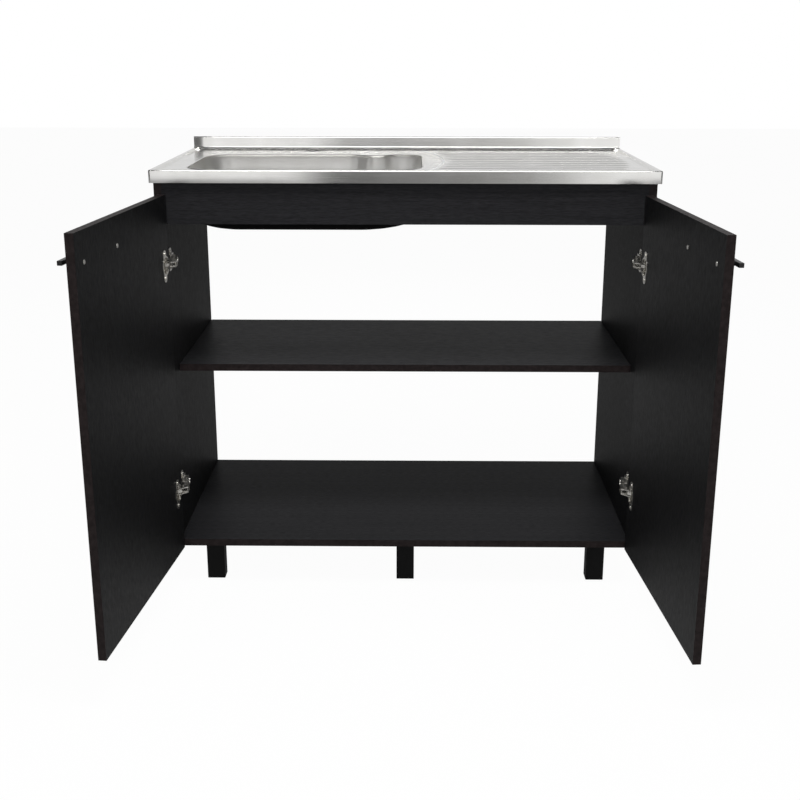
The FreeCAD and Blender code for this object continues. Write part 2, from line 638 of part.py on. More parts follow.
def inner_link():
    """The inner link, crooked so that it passes round the cup's edge. Its eye on the cup's
    pin has play, because the link's turn is a fixed share of the door's."""
    along = (INNER_CUP_PIN - INNER_ARM_PIN).normalize()
    deeper = Vector(-along.y, along.x, 0)
    middle = (INNER_ARM_PIN + INNER_CUP_PIN) * 0.5 + deeper * INNER_LINK_CROOK
    low, high = -INNER_LINK_HALF_WIDTH, INNER_LINK_HALF_WIDTH
    bars = [stadium(INNER_ARM_PIN, middle, EYE_RADIUS, low, high),
            stadium(middle, INNER_CUP_PIN, EYE_RADIUS, low, high)]
    holes = [pin(INNER_ARM_PIN, low - CUT, high + CUT, PIN_CLEARANCE),
             pin(INNER_CUP_PIN, low - CUT, high + CUT, INNER_LINK_PLAY)]
    return fuse(bars).cut(Part.makeCompound(holes))


ARM_SPINE = (arm_point(ARM_FRONT_OFF_SIDE, ARM_FRONT_FROM_FRONT),
             arm_point(ARM_MIDDLE_OFF_SIDE, ARM_MIDDLE_FROM_FRONT),
             arm_point(ARM_END_OFF_SIDE, ARM_END_FROM_FRONT))


def spine_at(from_front):
    """The arm's top line: the point this far behind the cabinet's front, and its outward normal."""
    y = FRONT_Y + from_front
    first, middle, last = ARM_SPINE
    start, stop = (first, middle) if y < middle.y else (middle, last)
    share = (y - start.y) / (stop.y - start.y)
    along = (stop - start).normalize()
    return start + (stop - start) * share, Vector(along.y, -along.x, 0)


def below_spine(drop):
    """The arm's top line moved towards the side panel."""
    return [Vector(p.x - drop, p.y, 0) for p in ARM_SPINE]


def hinge_arm():
    """Channel from the mounting plate to the two pins in front of the cabinet."""
    top = ARM_SPINE
    low = below_spine(ARM_CHEEK_HEIGHT)
    outer_tip = Vector(OUTER_ARM_PIN.x + EYE_RADIUS, OUTER_ARM_PIN.y, 0)
    inner_tip = Vector(INNER_ARM_PIN.x, INNER_ARM_PIN.y, 0)
    outline = [outer_tip] + list(top) + low[::-1] + [inner_tip, OUTER_ARM_PIN - Vector(0, EYE_RADIUS, 0)]
    cheeks = []
    for side in (-1, 1):
        z0, z1 = sorted((side * CHEEK_INSIDE, side * CHEEK_OUTSIDE))
        plate = prism([(p.x, p.y) for p in outline], z0, z1)
        tip = stadium(OUTER_ARM_PIN, INNER_ARM_PIN, EYE_RADIUS, z0, z1)
        cheeks.append(plate.fuse(tip))
    web_outline = list(top) + below_spine(ARM_SHEET)[::-1]
    web = prism([(p.x, p.y) for p in web_outline], -CHEEK_OUTSIDE, CHEEK_OUTSIDE)
    holes = arm_pins() + [arm_screw_hole(d) for d in (ADJUSTER_FROM_FRONT, FIXING_SCREW_FROM_FRONT)]
    return fuse(cheeks + [web]).cut(Part.makeCompound(holes))


def arm_screw(from_front):
    """Screw through the arm's top into the mounting plate's ridge."""
    seat, outward = spine_at(from_front)
    head = cylinder(seat, ARM_SCREW_HEAD_DIAMETER / 2, ARM_SCREW_HEAD_HEIGHT, outward)
    shank = cylinder(seat, ARM_SCREW_DIAMETER / 2, ARM_SHEET + ARM_SCREW_GRIP, -outward)
    socket = hexagon(seat + outward * (ARM_SCREW_HEAD_HEIGHT / 2), ARM_SCREW_DIAMETER / 2,
                     ARM_SCREW_HEAD_HEIGHT, outward)
    return head.fuse(shank).removeSplitter().cut(socket)


def arm_screw_hole(from_front):
    seat, outward = spine_at(from_front)
    return cylinder(seat + outward * CUT, ARM_SCREW_DIAMETER / 2 + SCREW_CLEARANCE,
                    ARM_SHEET + ARM_SCREW_GRIP + CUT + SCREW_CLEARANCE, -outward)


def plate_screw_centre(corner):
    y = FRONT_Y + (PLATE_FRONT_FROM_FRONT + PLATE_BACK_FROM_FRONT) / 2
    return Vector(-SIDE_INNER_X + PLATE_THICKNESS, y, corner * PLATE_SCREW_SPACING / 2)


def plate_screw(z=0.0, corner=1, head=False):
    """Screw through the mounting plate's foot into the side panel."""
    centre = plate_screw_centre(corner) + Vector(0, 0, z)
    grow = 0.0 if head else SCREW_CLEARANCE
    shank = cylinder(centre, PLATE_SCREW_DIAMETER / 2 + grow, PLATE_SCREW_LENGTH + grow, Vector(-1, 0, 0))
    if not head:
        return shank
    cap = cylinder(centre, PLATE_SCREW_HEAD_DIAMETER / 2, PLATE_SCREW_HEAD_HEIGHT, Vector(1, 0, 0))
    return cap.fuse(shank).removeSplitter()


def mounting_plate():
    """Foot on the side panel, a saddle across it, and the ridge that the arm sits over."""
    x = -SIDE_INNER_X
    front = FRONT_Y + PLATE_FRONT_FROM_FRONT
    back = FRONT_Y + PLATE_BACK_FROM_FRONT
    middle = (front + back) / 2
    foot = block(x, x + PLATE_THICKNESS, middle - PLATE_FOOT_LENGTH / 2, middle + PLATE_FOOT_LENGTH / 2,
                 -PLATE_FOOT_HEIGHT / 2, PLATE_FOOT_HEIGHT / 2)
    foot_corners = edges_where(foot, lambda b: b.XLength > PLATE_THICKNESS / 2 and b.YLength < LEVEL
                               and b.ZLength < LEVEL)
    foot = foot.makeFillet(PLATE_FOOT_LENGTH / 4, foot_corners)
    saddle_half = PLATE_SADDLE_HEIGHT / 2
    head_room = PLATE_SCREW_SPACING / 2 - PLATE_SCREW_HEAD_DIAMETER / 2 - SCREW_CLEARANCE
    half = min(saddle_half, head_room)
    saddle = block(x, x + PLATE_SADDLE_OFF_SIDE, front, back, -half, half)
    cross_front = FRONT_Y + PLATE_CROSS_FROM_FRONT
    cross = block(x, x + PLATE_CROSS_OFF_SIDE, cross_front, cross_front + PLATE_CROSS_THICKNESS,
                  -saddle_half, saddle_half)
    slot = block(x + PLATE_SADDLE_OFF_SIDE, x + 2 * PLATE_CROSS_OFF_SIDE, front, back,
                 -PLATE_CROSS_SLOT / 2, PLATE_CROSS_SLOT / 2)
    seat = below_spine(ARM_SHEET)
    ridge_outline = [(x, front), (spine_x(seat, front), front), (seat[1].x, seat[1].y),
                     (spine_x(seat, back), back), (x, back)]
    ridge = prism(ridge_outline, -PLATE_RIDGE_HALF_WIDTH, PLATE_RIDGE_HALF_WIDTH)
    holes = [plate_screw(0.0, corner) for corner in (-1, 1)]
    holes += [arm_screw_hole(d) for d in (ADJUSTER_FROM_FRONT, FIXING_SCREW_FROM_FRONT)]
    return fuse([foot, saddle, cross.cut(slot), ridge]).cut(Part.makeCompound(holes))


def spine_x(line, y):
    first, middle, last = line
    start, stop = (first, middle) if y < middle.y else (middle, last)
    return start.x + (stop.x - start.x) * (y - start.y) / (stop.y - start.y)


# ---- doors, drawn closed on the left
def handle_hole_x(from_edge):
    return DOOR_EDGE_X + from_edge


def door_panel():
    panel = block(DOOR_EDGE_X, DOOR_EDGE_X + DOOR_WIDTH, DOOR_FACE_Y - PANEL, DOOR_FACE_Y,
                  DOOR_BOTTOM, DOOR_TOP)
    holes = []
    for z in HINGE_HEIGHTS:
        cup = cup_cylinder(CUP_DIAMETER / 2 + CUP_CLEARANCE, CUP_DEPTH + CUP_CLEARANCE, CUT)
        for hole in [cup] + [flange_screw_hole(end) for end in (-1, 1)]:
            hole.translate(Vector(0, 0, z))
            holes.append(hole)
    for from_edge in (HANDLE_NEAR_HOLE, HANDLE_FAR_HOLE):
        start = Vector(handle_hole_x(from_edge), DOOR_FACE_Y - PANEL - CUT, HANDLE_HEIGHT)
        holes.append(cylinder(start, HANDLE_SCREW_DIAMETER / 2 + HANDLE_SCREW_CLEARANCE,
                              PANEL + 2 * CUT, Vector(0, 1, 0)))
    return panel.cut(Part.makeCompound(holes))


def handle():
    """Flat bar standing off the door's outer face on two posts."""
    outer_face = DOOR_FACE_Y - PANEL
    x0 = handle_hole_x(HANDLE_NEAR_HOLE)
    x1 = handle_hole_x(HANDLE_FAR_HOLE)
    half = HANDLE_BAR_HEIGHT / 2
    bar = block(x0 - HANDLE_OVERHANG, x1 + HANDLE_OVERHANG, outer_face - HANDLE_PROJECTION,
                outer_face - HANDLE_PROJECTION + HANDLE_BAR_DEPTH, HANDLE_HEIGHT - half,
                HANDLE_HEIGHT + half)
    bar = bar.makeFillet(HANDLE_EDGE_RADIUS, bar.Edges)
    gap = HANDLE_PROJECTION - HANDLE_BAR_DEPTH / 2
    posts = [cylinder(Vector(x, outer_face, HANDLE_HEIGHT), half - HANDLE_EDGE_RADIUS / 2, gap,
                      Vector(0, -1, 0)) for x in (x0, x1)]
    threads = [cylinder(Vector(x, outer_face, HANDLE_HEIGHT), HANDLE_SCREW_DIAMETER / 2,
                        HANDLE_SCREW_GRIP, Vector(0, -1, 0)) for x in (x0, x1)]
    return fuse([bar] + posts).cut(Part.makeCompound(threads))


def handle_screws():
    screws = []
    for from_edge in (HANDLE_NEAR_HOLE, HANDLE_FAR_HOLE):
        start = Vector(handle_hole_x(from_edge), DOOR_FACE_Y, HANDLE_HEIGHT)
        head = cylinder(start, HANDLE_SCREW_HEAD_DIAMETER / 2, HANDLE_SCREW_HEAD_HEIGHT, Vector(0, 1, 0))
        rim = edges_where(head, lambda b: b.YMin > DOOR_FACE_Y + HANDLE_SCREW_HEAD_HEIGHT / 2)
        head = head.makeFillet(HANDLE_SCREW_HEAD_HEIGHT / 2, rim)
        shank = cylinder(start, HANDLE_SCREW_DIAMETER / 2, PANEL + HANDLE_SCREW_GRIP, Vector(0, -1, 0))
        screws.append(head.fuse(shank).removeSplitter())
    return screws


# ---- putting it together
def at_hinges(shapes):
    """Copies of a hinge's solids at both hinge heights."""
    copies = []
    for z in HINGE_HEIGHTS:
        for shape in shapes:
            copy = shape.copy()
            copy.translate(Vector(0, 0, z))
            copies.append(copy)
    return copies


def door_side(side, opening):
    """All pieces of one door and its hinges, drawn on the left and mirrored for the right."""
    flange_screws = [flange_screw(end) for end in (-1, 1)]
    plate_screws = [plate_screw(0.0, corner, head=True) for corner in (-1, 1)]
    arm_screws = [arm_screw(d) for d in (ADJUSTER_FROM_FRONT, FIXING_SCREW_FROM_FRONT)]
    on_door = {
        "door_panel": [door_panel()],
        "handle": [handle()],
        "handle_screws": handle_screws(),
        "hinge_flange_screws": at_hinges(flange_screws),
        "hinge_cup_pins": at_hinges(cup_pins()),
    }
    fixed = {
        "hinge_arm_pins": at_hinges(arm_pins()),
        "hinge_plate_screws": at_hinges(plate_screws),
        "hinge_arm_screws": at_hinges(arm_screws),
    }
    for level, z in zip(("lower", "upper"), HINGE_HEIGHTS):
        lift = Vector(0, 0, z)
        on_door[level + "_hinge_cup"] = [hinge_cup()]
        fixed[level + "_hinge_arm"] = [hinge_arm()]
        fixed[level + "_hinge_plate"] = [mounting_plate()]
        for piece in (on_door[level + "_hinge_cup"], fixed[level + "_hinge_arm"],
                      fixed[level + "_hinge_plate"]):
            piece[0].translate(lift)
    pieces = {name: [with_door(s, opening) for s in shapes] for name, shapes in on_door.items()}
    pieces.update(fixed)
    pieces["outer_hinge_links"] = [with_link(s, OUTER_ARM_PIN, OUTER_LINK_SHARE, opening)
                                   for s in at_hinges(outer_links())]
    pieces["inner_hinge_links"] = [with_link(s, INNER_ARM_PIN, INNER_LINK_SHARE, opening)
                                   for s in at_hinges([inner_link()])]
    for name, shapes in pieces.items():
        if side == "right":
            shapes = [mirrored(s) for s in shapes]
        nodes[side + "_" + name] = shapes


def cabinet():
    left_screws = [panel_screw(y, z) for y, z in SCREW_PLACES]
    nodes["left_side_panel"] = [side_panel()]
    nodes["right_side_panel"] = [mirrored(side_panel())]
    nodes["left_panel_screws"] = left_screws
    nodes["right_panel_screws"] = [mirrored(s) for s in left_screws]
    nodes["panel_dowels"] = both_sides([dowel(y, z) for y, z in DOWEL_PLACES])
    nodes["front_rail"] = [cross_panel(FRONT_Y, FRONT_Y + PANEL, RAIL_BOTTOM, CABINET_TOP)]
    nodes["rear_rail"] = [cross_panel(BACK_Y - PANEL, BACK_Y, RAIL_BOTTOM, CABINET_TOP)]
    nodes["shelf"] = [cross_panel(SHELF_FRONT_Y, BACK_Y, SHELF_TOP - PANEL, SHELF_TOP, SHELF_SIDE_GAP)]
    floor = cross_panel(FRONT_Y, BACK_Y, LEG_HEIGHT, BOTTOM_TOP)
    studs = []
    for name, x, y in leg_places():
        nodes[name] = [leg(x, y)]
        studs.append(leg_stud(x, y))
        floor = floor.cut(leg_stud(x, y, SCREW_CLEARANCE))
    nodes["bottom_panel"] = [floor]
    nodes["leg_studs"] = studs


def export():
    """Moves everything so that the origin is the bottom centre of the whole, and writes it."""
    whole = Part.makeCompound([s for shapes in nodes.values() for s in shapes])
    box = whole.optimalBoundingBox(False, False)
    origin = Vector((box.XMin + box.XMax) / 2, (box.YMin + box.YMax) / 2, box.ZMin)
    for name, shapes in sorted(nodes.items()):
        solids = [solid for shape in shapes for solid in shape.Solids]
        piece = solids[0] if len(solids) == 1 else Part.makeCompound(solids)
        piece.translate(-origin)
        piece.exportStep("parts/" + name + ".step")
    return origin, box


def report_joints(origin, box):
    """Prints where the joints' axes are in the moved frame, and how far each door still turns."""
    print("box", [round(v, 3) for v in (box.XLength, box.YLength, box.ZLength)])
    print("origin", [round(v, 4) for v in origin])
    for side, sign, opening in (("left", 1, LEFT_DOOR_ANGLE), ("right", -1, RIGHT_DOOR_ANGLE)):
        print(side, "closing", opening, "opening further", round(HINGE_STOP_ANGLE - opening, 3))
        pins = {"outer_arm_pin": OUTER_ARM_PIN, "inner_arm_pin": INNER_ARM_PIN,
                "cup_pin": outer_cup_pin_at(opening)}
        for name, p in pins.items():
            print(side, name, round(sign * p.x - origin.x, 4), round(p.y - origin.y, 4))


nodes["sink_top"] = [sink_top()]
nodes["sink_bowl"] = [sink_bowl()]
cabinet()
door_side("left", LEFT_DOOR_ANGLE)
door_side("right", RIGHT_DOOR_ANGLE)
os.makedirs("parts", exist_ok=True)
report_joints(*export())
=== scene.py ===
import json
import math

import bmesh
import bpy
from mathutils import Matrix, Vector
from mathutils.geometry import delaunay_2d_cdt


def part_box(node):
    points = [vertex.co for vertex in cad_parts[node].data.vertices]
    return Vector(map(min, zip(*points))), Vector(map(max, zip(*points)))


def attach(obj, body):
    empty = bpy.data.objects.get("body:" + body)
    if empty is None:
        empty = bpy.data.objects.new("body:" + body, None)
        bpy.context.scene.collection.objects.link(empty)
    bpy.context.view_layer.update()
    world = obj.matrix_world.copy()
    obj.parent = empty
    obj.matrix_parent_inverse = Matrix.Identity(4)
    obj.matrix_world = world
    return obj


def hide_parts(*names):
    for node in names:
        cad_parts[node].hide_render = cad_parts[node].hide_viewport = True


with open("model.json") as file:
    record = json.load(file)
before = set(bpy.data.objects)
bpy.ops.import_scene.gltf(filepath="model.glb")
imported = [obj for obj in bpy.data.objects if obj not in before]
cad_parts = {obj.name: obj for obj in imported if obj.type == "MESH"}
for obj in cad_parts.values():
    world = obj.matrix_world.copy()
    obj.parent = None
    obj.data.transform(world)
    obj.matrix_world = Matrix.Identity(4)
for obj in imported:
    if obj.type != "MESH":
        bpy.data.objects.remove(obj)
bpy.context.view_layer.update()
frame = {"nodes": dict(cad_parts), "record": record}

MM = 0.001


# ---- colours and materials
def linear(hex_code):
    """sRGB hex to the linear colour that the shaders take."""
    parts = [int(hex_code[k:k + 2], 16) / 255 for k in (1, 3, 5)]
    return [p / 12.92 if p <= 0.04045 else ((p + 0.055) / 1.055) ** 2.4 for p in parts] + [1.0]


def add_node(tree, kind, links=None, values=None, **settings):
    """Adds a node, sets its properties and plain inputs, and links what feeds it."""
    node = tree.nodes.new(kind)
    for name, value in settings.items():
        setattr(node, name, value)
    for name, value in (values or {}).items():
        node.inputs[name].default_value = value
    for name, source in (links or {}).items():
        tree.links.new(source, node.inputs[name])
    return node


def new_material(name):
    material = bpy.data.materials.new(name)
    material.use_nodes = True
    material.node_tree.nodes.clear()
    return material, material.node_tree


def surface(tree, values, links):
    shader = add_node(tree, "ShaderNodeBsdfPrincipled", links, values)
    add_node(tree, "ShaderNodeOutputMaterial", {"Surface": shader.outputs[0]})
    return shader


def per_metre(x_mm, y_mm, z_mm):
    """Noise cells of this size, as a Mapping scale."""
    return (1 / (x_mm * MM), 1 / (y_mm * MM), 1 / (z_mm * MM))


def cells(tree, size_mm, detail=3.0, roughness=0.55, seed=0.0):
    """Noise whose cells have this size in millimetres along X, Y and Z."""
    place = add_node(tree, "ShaderNodeTexCoord")
    scaled = add_node(tree, "ShaderNodeMapping", {"Vector": place.outputs["Object"]},
                      {"Scale": per_metre(*size_mm), "Location": (seed, seed, seed)})
    return add_node(tree, "ShaderNodeTexNoise", {"Vector": scaled.outputs[0]},
                    {"Scale": 1.0, "Detail": detail, "Roughness": roughness}).outputs["Fac"]


def ramp(tree, source, stops):
    node = add_node(tree, "ShaderNodeValToRGB", {"Fac": source})
    elements = node.color_ramp.elements
    while len(elements) < len(stops):
        elements.new(0.5)
    for element, (position, colour) in zip(elements, stops):
        element.position = position
        element.color = linear(colour)
    return node.outputs["Color"]


def spread(tree, source, low, high):
    return add_node(tree, "ShaderNodeMapRange", {"Value": source},
                    {"From Min": 0.3, "From Max": 0.7, "To Min": low, "To Max": high}).outputs[0]


def bump(tree, height, depth_mm, strength=1.0):
    return add_node(tree, "ShaderNodeBump", {"Height": height},
                    {"Strength": strength, "Distance": depth_mm * MM}).outputs[0]


def black_melamine(name, along, ground, darkest_stroke, gloss):
    """Black melamine on chipboard, pressed with a fine wood grain: pores in short strokes along
    the grain, and slow streaks a little lighter than the ground. The ground tones given are
    painted light and shade: one board stock, set lighter or darker for how light falls on
    the boards that take each copy."""
    material, tree = new_material(name)
    pore = [0.8, 0.8, 0.8]
    streak = [5.0, 5.0, 5.0]
    pore[along] = 14.0
    streak[along] = 240.0
    pores = cells(tree, pore, detail=2.0, roughness=0.5)
    streaks = cells(tree, streak, detail=3.0)
    # the ground tones carry painted light and shade, set for each board copy
    slow = ramp(tree, streaks, [(0.35, ground[0]), (0.65, ground[1])])
    strokes = ramp(tree, pores, [(0.4, darkest_stroke), (0.56, "#ffffff")])
    colour = add_node(tree, "ShaderNodeMix", {6: slow, 7: strokes}, {0: 1.0},
                      data_type="RGBA", blend_type="MULTIPLY").outputs[2]
    surface(tree, {"IOR": 1.5, "Specular IOR Level": gloss},
            {"Base Color": colour, "Roughness": spread(tree, pores, 0.56, 0.4),
             "Normal": bump(tree, pores, 0.1, 0.7)})
    return material


def edge_band():
    """Thin plastic edging glued round the boards: smoother than the faces, a brownish black."""
    material, tree = new_material("pvc_edge_band")
    grain = cells(tree, (9.0, 9.0, 9.0))
    surface(tree, {"IOR": 1.5, "Specular IOR Level": 0.1},
            {"Base Color": ramp(tree, grain, [(0.35, "#1f1a1a"), (0.65, "#2a2424")]),
             "Roughness": spread(tree, grain, 0.42, 0.54)})
    return material


def brushed_steel(name, grain_mm, rough_low, rough_high, depth_mm, colour_low, colour_high):
    """Stainless sheet with a satin brushing along the sheet and a slight cloudiness."""
    material, tree = new_material(name)
    lines = cells(tree, grain_mm, detail=2.0)
    clouds = cells(tree, (60.0, 60.0, 60.0), detail=2.0, seed=3.0)
    links = {"Base Color": ramp(tree, clouds, [(0.3, colour_low), (0.7, colour_high)]),
             "Roughness": spread(tree, lines, rough_low, rough_high)}
    if depth_mm:
        links["Normal"] = bump(tree, lines, depth_mm, 0.5)
    surface(tree, {"Metallic": 1.0}, links)
    return material


def plated_steel():
    """Nickel-plated stampings: bright, with the faint unevenness of barrel plating."""
    material, tree = new_material("nickel_plated_steel")
    clouds = cells(tree, (3.0, 3.0, 3.0))
    surface(tree, {"Metallic": 1.0},
            {"Base Color": ramp(tree, clouds, [(0.3, "#cfccc6"), (0.7, "#e4e2dc")]),
             "Roughness": spread(tree, clouds, 0.26, 0.38),
             "Normal": bump(tree, clouds, 0.02, 0.4)})
    return material


def moulded_black():
    """Moulded black plastic of the legs: matt, with a fine spark-eroded texture."""
    material, tree = new_material("moulded_black_plastic")
    grit = cells(tree, (0.9, 0.9, 0.9))
    surface(tree, {"IOR": 1.46, "Specular IOR Level": 0.1},
            {"Base Color": ramp(tree, grit, [(0.3, "#121212"), (0.7, "#1a1a1a")]),
             "Roughness": spread(tree, grit, 0.5, 0.62), "Normal": bump(tree, grit, 0.05, 0.5)})
    return material


def handle_lacquer():
    """Black lacquer on the metal handles: satin, with a slight orange peel."""
    material, tree = new_material("black_lacquer")
    peel = cells(tree, (1.4, 1.4, 1.4), detail=1.0)
    surface(tree, {"IOR": 1.5},
            {"Base Color": ramp(tree, peel, [(0.3, "#141414"), (0.7, "#1a1a1a")]),
             "Roughness": spread(tree, peel, 0.3, 0.38), "Normal": bump(tree, peel, 0.02, 0.5)})
    return material


def beech():
    """Beech of the dowels: pale, with short flecks along the grain."""
    material, tree = new_material("beech_dowel")
    flecks = cells(tree, (12.0, 0.8, 0.8))
    surface(tree, {"IOR": 1.5, "Roughness": 0.6},
            {"Base Color": ramp(tree, flecks, [(0.35, "#b08a5e"), (0.65, "#cfae82")])})
    return material


def undercoat():
    """Black sound-deadening coat sprayed under the bowl: dull and slightly pebbled."""
    material, tree = new_material("bitumen_undercoat")
    pebbles = cells(tree, (2.2, 2.2, 2.2))
    surface(tree, {"IOR": 1.5, "Specular IOR Level": 0.1},
            {"Base Color": ramp(tree, pebbles, [(0.3, "#0b0b0b"), (0.7, "#141414")]),
             "Roughness": spread(tree, pebbles, 0.7, 0.85), "Normal": bump(tree, pebbles, 0.3, 0.6)})
    return material


# The doors, the side panels, and the level boards with the two rails. One black melamine in
# three copies whose ground tones are painted light and shade: darkest on the doors, lighter on
# the side panels, lightest on the level boards and the rails.
UPRIGHT = black_melamine("black_melamine_upright_grain", 2, ("#171718", "#1f1f20"), "#a8a8a8", 0.1)
SIDES = black_melamine("black_melamine_side_grain", 2, ("#1b1b1c", "#242425"), "#b0b0b0", 0.03)
LEVEL = black_melamine("black_melamine_level_grain", 0, ("#272729", "#2c2c2e"), "#d8d8d8", 0.03)
BAND = edge_band()
DECK_STEEL = brushed_steel("brushed_stainless", (90.0, 0.7, 0.7), 0.13, 0.18, 0.0,
                           "#e6e5e2", "#efeeec")
BOWL_STEEL = brushed_steel("satin_stainless", (3.0, 3.0, 3.0), 0.34, 0.42, 0.002,
                           "#dfdedb", "#e9e8e6")
PLATED = plated_steel()
PLASTIC = moulded_black()
LACQUER = handle_lacquer()
BEECH = beech()
UNDERCOAT = undercoat()


# ---- meshes
FLAT_AREA = 400 * MM * MM
MERGE_DISTANCE = 1e-6
SAME_PLANE_DEGREES = 0.8
SHARP_EDGE_DEGREES = 50


def finished(mesh, name, material, body, nodes, crease=32.0):
    """Puts a mesh in the scene as a piece that stands for CAD nodes and moves with a body."""
    if crease:
        mesh.polygons.foreach_set("use_smooth", [True] * len(mesh.polygons))
        mesh.set_sharp_from_angle(angle=math.radians(crease))
    piece = bpy.data.objects.new(name, mesh)
    bpy.context.scene.collection.objects.link(piece)
    if material:
        mesh.materials.clear()
        mesh.materials.append(material)
    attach(piece, body)
    if nodes:
        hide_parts(*nodes)
    return piece


def body_of(node):
    return next(body for body, nodes in frame["record"]["behaviour"]["bodies"].items()
                if node in nodes)


def slot_of(node):
    return next(row["material_slot"] for row in frame["record"]["subparts"]
                if row["node"] == node)


def merged_copy(node):
    """A CAD node's mesh with its triangles joined and its flat faces made whole."""
    mesh = frame["nodes"][node].data.copy()
    work = bmesh.new()
    work.from_mesh(mesh)
    bmesh.ops.remove_doubles(work, verts=work.verts, dist=MERGE_DISTANCE)
    bmesh.ops.dissolve_limit(work, angle_limit=math.radians(SAME_PLANE_DEGREES),
                             verts=work.verts, edges=work.edges)
    work.to_mesh(mesh)
    work.free()
    return mesh


def softened(node, name, material, width_mm, segments=2):
    """The node's own shape with its sharp edges eased, as sawn and edged boards have them.
    Flat faces stay flat shaded, and only the eased strips and the holes' walls are smooth."""
    holder = bpy.data.objects.new(name + "_raw", merged_copy(node))
    bpy.context.scene.collection.objects.link(holder)
    bevel = holder.modifiers.new("eased", "BEVEL")
    bevel.width = width_mm * MM
    bevel.segments = segments
    bevel.limit_method = "ANGLE"
    bevel.angle_limit = math.radians(SHARP_EDGE_DEGREES)
    depsgraph = bpy.context.evaluated_depsgraph_get()
    eased = bpy.data.meshes.new_from_object(holder.evaluated_get(depsgraph))
    bpy.data.objects.remove(holder)
    eased.name = name
    flat = {tuple(round(c, 2) for c in polygon.normal) for polygon in eased.polygons
            if polygon.area > FLAT_AREA}
    for polygon in eased.polygons:
        polygon.use_smooth = tuple(round(c, 2) for c in polygon.normal) not in flat
    return finished(eased, name, material, body_of(node), [node], crease=None)


def banded(piece, face_normal):
    """Gives the board's narrow sides the edge band."""
    piece.data.materials.append(BAND)
    for polygon in piece.data.polygons:
        if abs(polygon.normal.dot(face_normal)) < 0.5:
            polygon.material_index = 1


def door_normal(node):
    """The direction a door faces: its largest flat side."""
    mesh = frame["nodes"][node].data
    return max(mesh.polygons, key=lambda p: p.area).normal.copy()


# ---- boards, legs and handles
BOARD_EASE_MM = 0.5
LEG_EASE_MM = 0.6
for node, material, normal in (
        ("left_side_panel", SIDES, Vector((1, 0, 0))),
        ("right_side_panel", SIDES, Vector((1, 0, 0))),
        ("front_rail", LEVEL, Vector((0, 1, 0))),
        ("rear_rail", LEVEL, Vector((0, 1, 0))),
        ("shelf", LEVEL, Vector((0, 0, 1))),
        ("bottom_panel", LEVEL, Vector((0, 0, 1))),
        ("left_door_panel", UPRIGHT, door_normal("left_door_panel")),
        ("right_door_panel", UPRIGHT, door_normal("right_door_panel"))):
    banded(softened(node, node.replace("_panel", "") + "_board", material, BOARD_EASE_MM), normal)

for row in ("front", "rear"):
    for column in ("left", "middle", "right"):
        softened(f"{row}_{column}_leg", f"{row}_{column}_leg_block", PLASTIC, LEG_EASE_MM)

for side in ("left", "right"):
    finished(merged_copy(side + "_handle"), side + "_bar_handle", LACQUER,
             side + "_door", [side + "_handle"], crease=40.0)


# ---- the pressed sink
def arc_points(corner, back, ahead, radius, steps):
    """Points of a rounded corner between two unit directions leaving it."""
    half = back.angle(ahead) / 2
    centre = corner + (back + ahead).normalized() * (radius / math.sin(half))
    start = corner + back * (radius / math.tan(half)) - centre
    stop = corner + ahead * (radius / math.tan(half)) - centre
    turn = math.atan2(start.x * stop.y - start.y * stop.x, start.dot(stop))
    points = []
    for k in range(steps + 1):
        angle = turn * k / steps
        c, s = math.cos(angle), math.sin(angle)
        points.append(centre + Vector((start.x * c - start.y * s, start.x * s + start.y * c)))
    return points


# How many pieces each straight side is cut into, kept so that all loops of one outline match
SPLITS = {}
POINT_LIKE = 1e-5


def rounded_loop(corners, steps=14, gap=25 * MM):
    """Closed loop of points round corners (x, y, radius), anticlockwise, in metres."""
    loop = []
    count = len(corners)
    for k, (x, y, radius) in enumerate(corners):
        corner = Vector((x, y))
        back = (Vector(corners[k - 1][:2]) - corner).normalized()
        ahead = (Vector(corners[(k + 1) % count][:2]) - corner).normalized()
        loop.append(arc_points(corner, back, ahead, max(radius, POINT_LIKE), steps))
    points = []
    for k, arc in enumerate(loop):
        points += arc
        far = loop[(k + 1) % count][0]
        pieces = SPLITS.setdefault((count, k), max(1, int((far - arc[-1]).length / gap)))
        points += [arc[-1].lerp(far, j / pieces) for j in range(1, pieces)]
    return points


def moved_out(corners, grow):
    """The same rounded outline moved outwards by a distance, its radii kept concentric."""
    result = []
    for k, (x, y, radius) in enumerate(corners):
        here = Vector((x, y))
        back = (here - Vector(corners[k - 1][:2])).normalized()
        ahead = (Vector(corners[(k + 1) % len(corners)][:2]) - here).normalized()
        first = Vector((back.y, -back.x))
        second = Vector((ahead.y, -ahead.x))
        moved = here + (first + second) * (grow / (1 + first.dot(second)))
        bend = math.copysign(grow, back.x * ahead.y - back.y * ahead.x)
        result.append((moved.x, moved.y, radius + bend))
    return result


def inside(point, loop):
    """Whether a point lies in a closed loop."""
    hit = False
    for k, a in enumerate(loop):
        b = loop[k - 1]
        if (a.y > point.y) != (b.y > point.y):
            if point.x < (b.x - a.x) * (point.y - a.y) / (b.y - a.y) + a.x:
                hit = not hit
    return hit


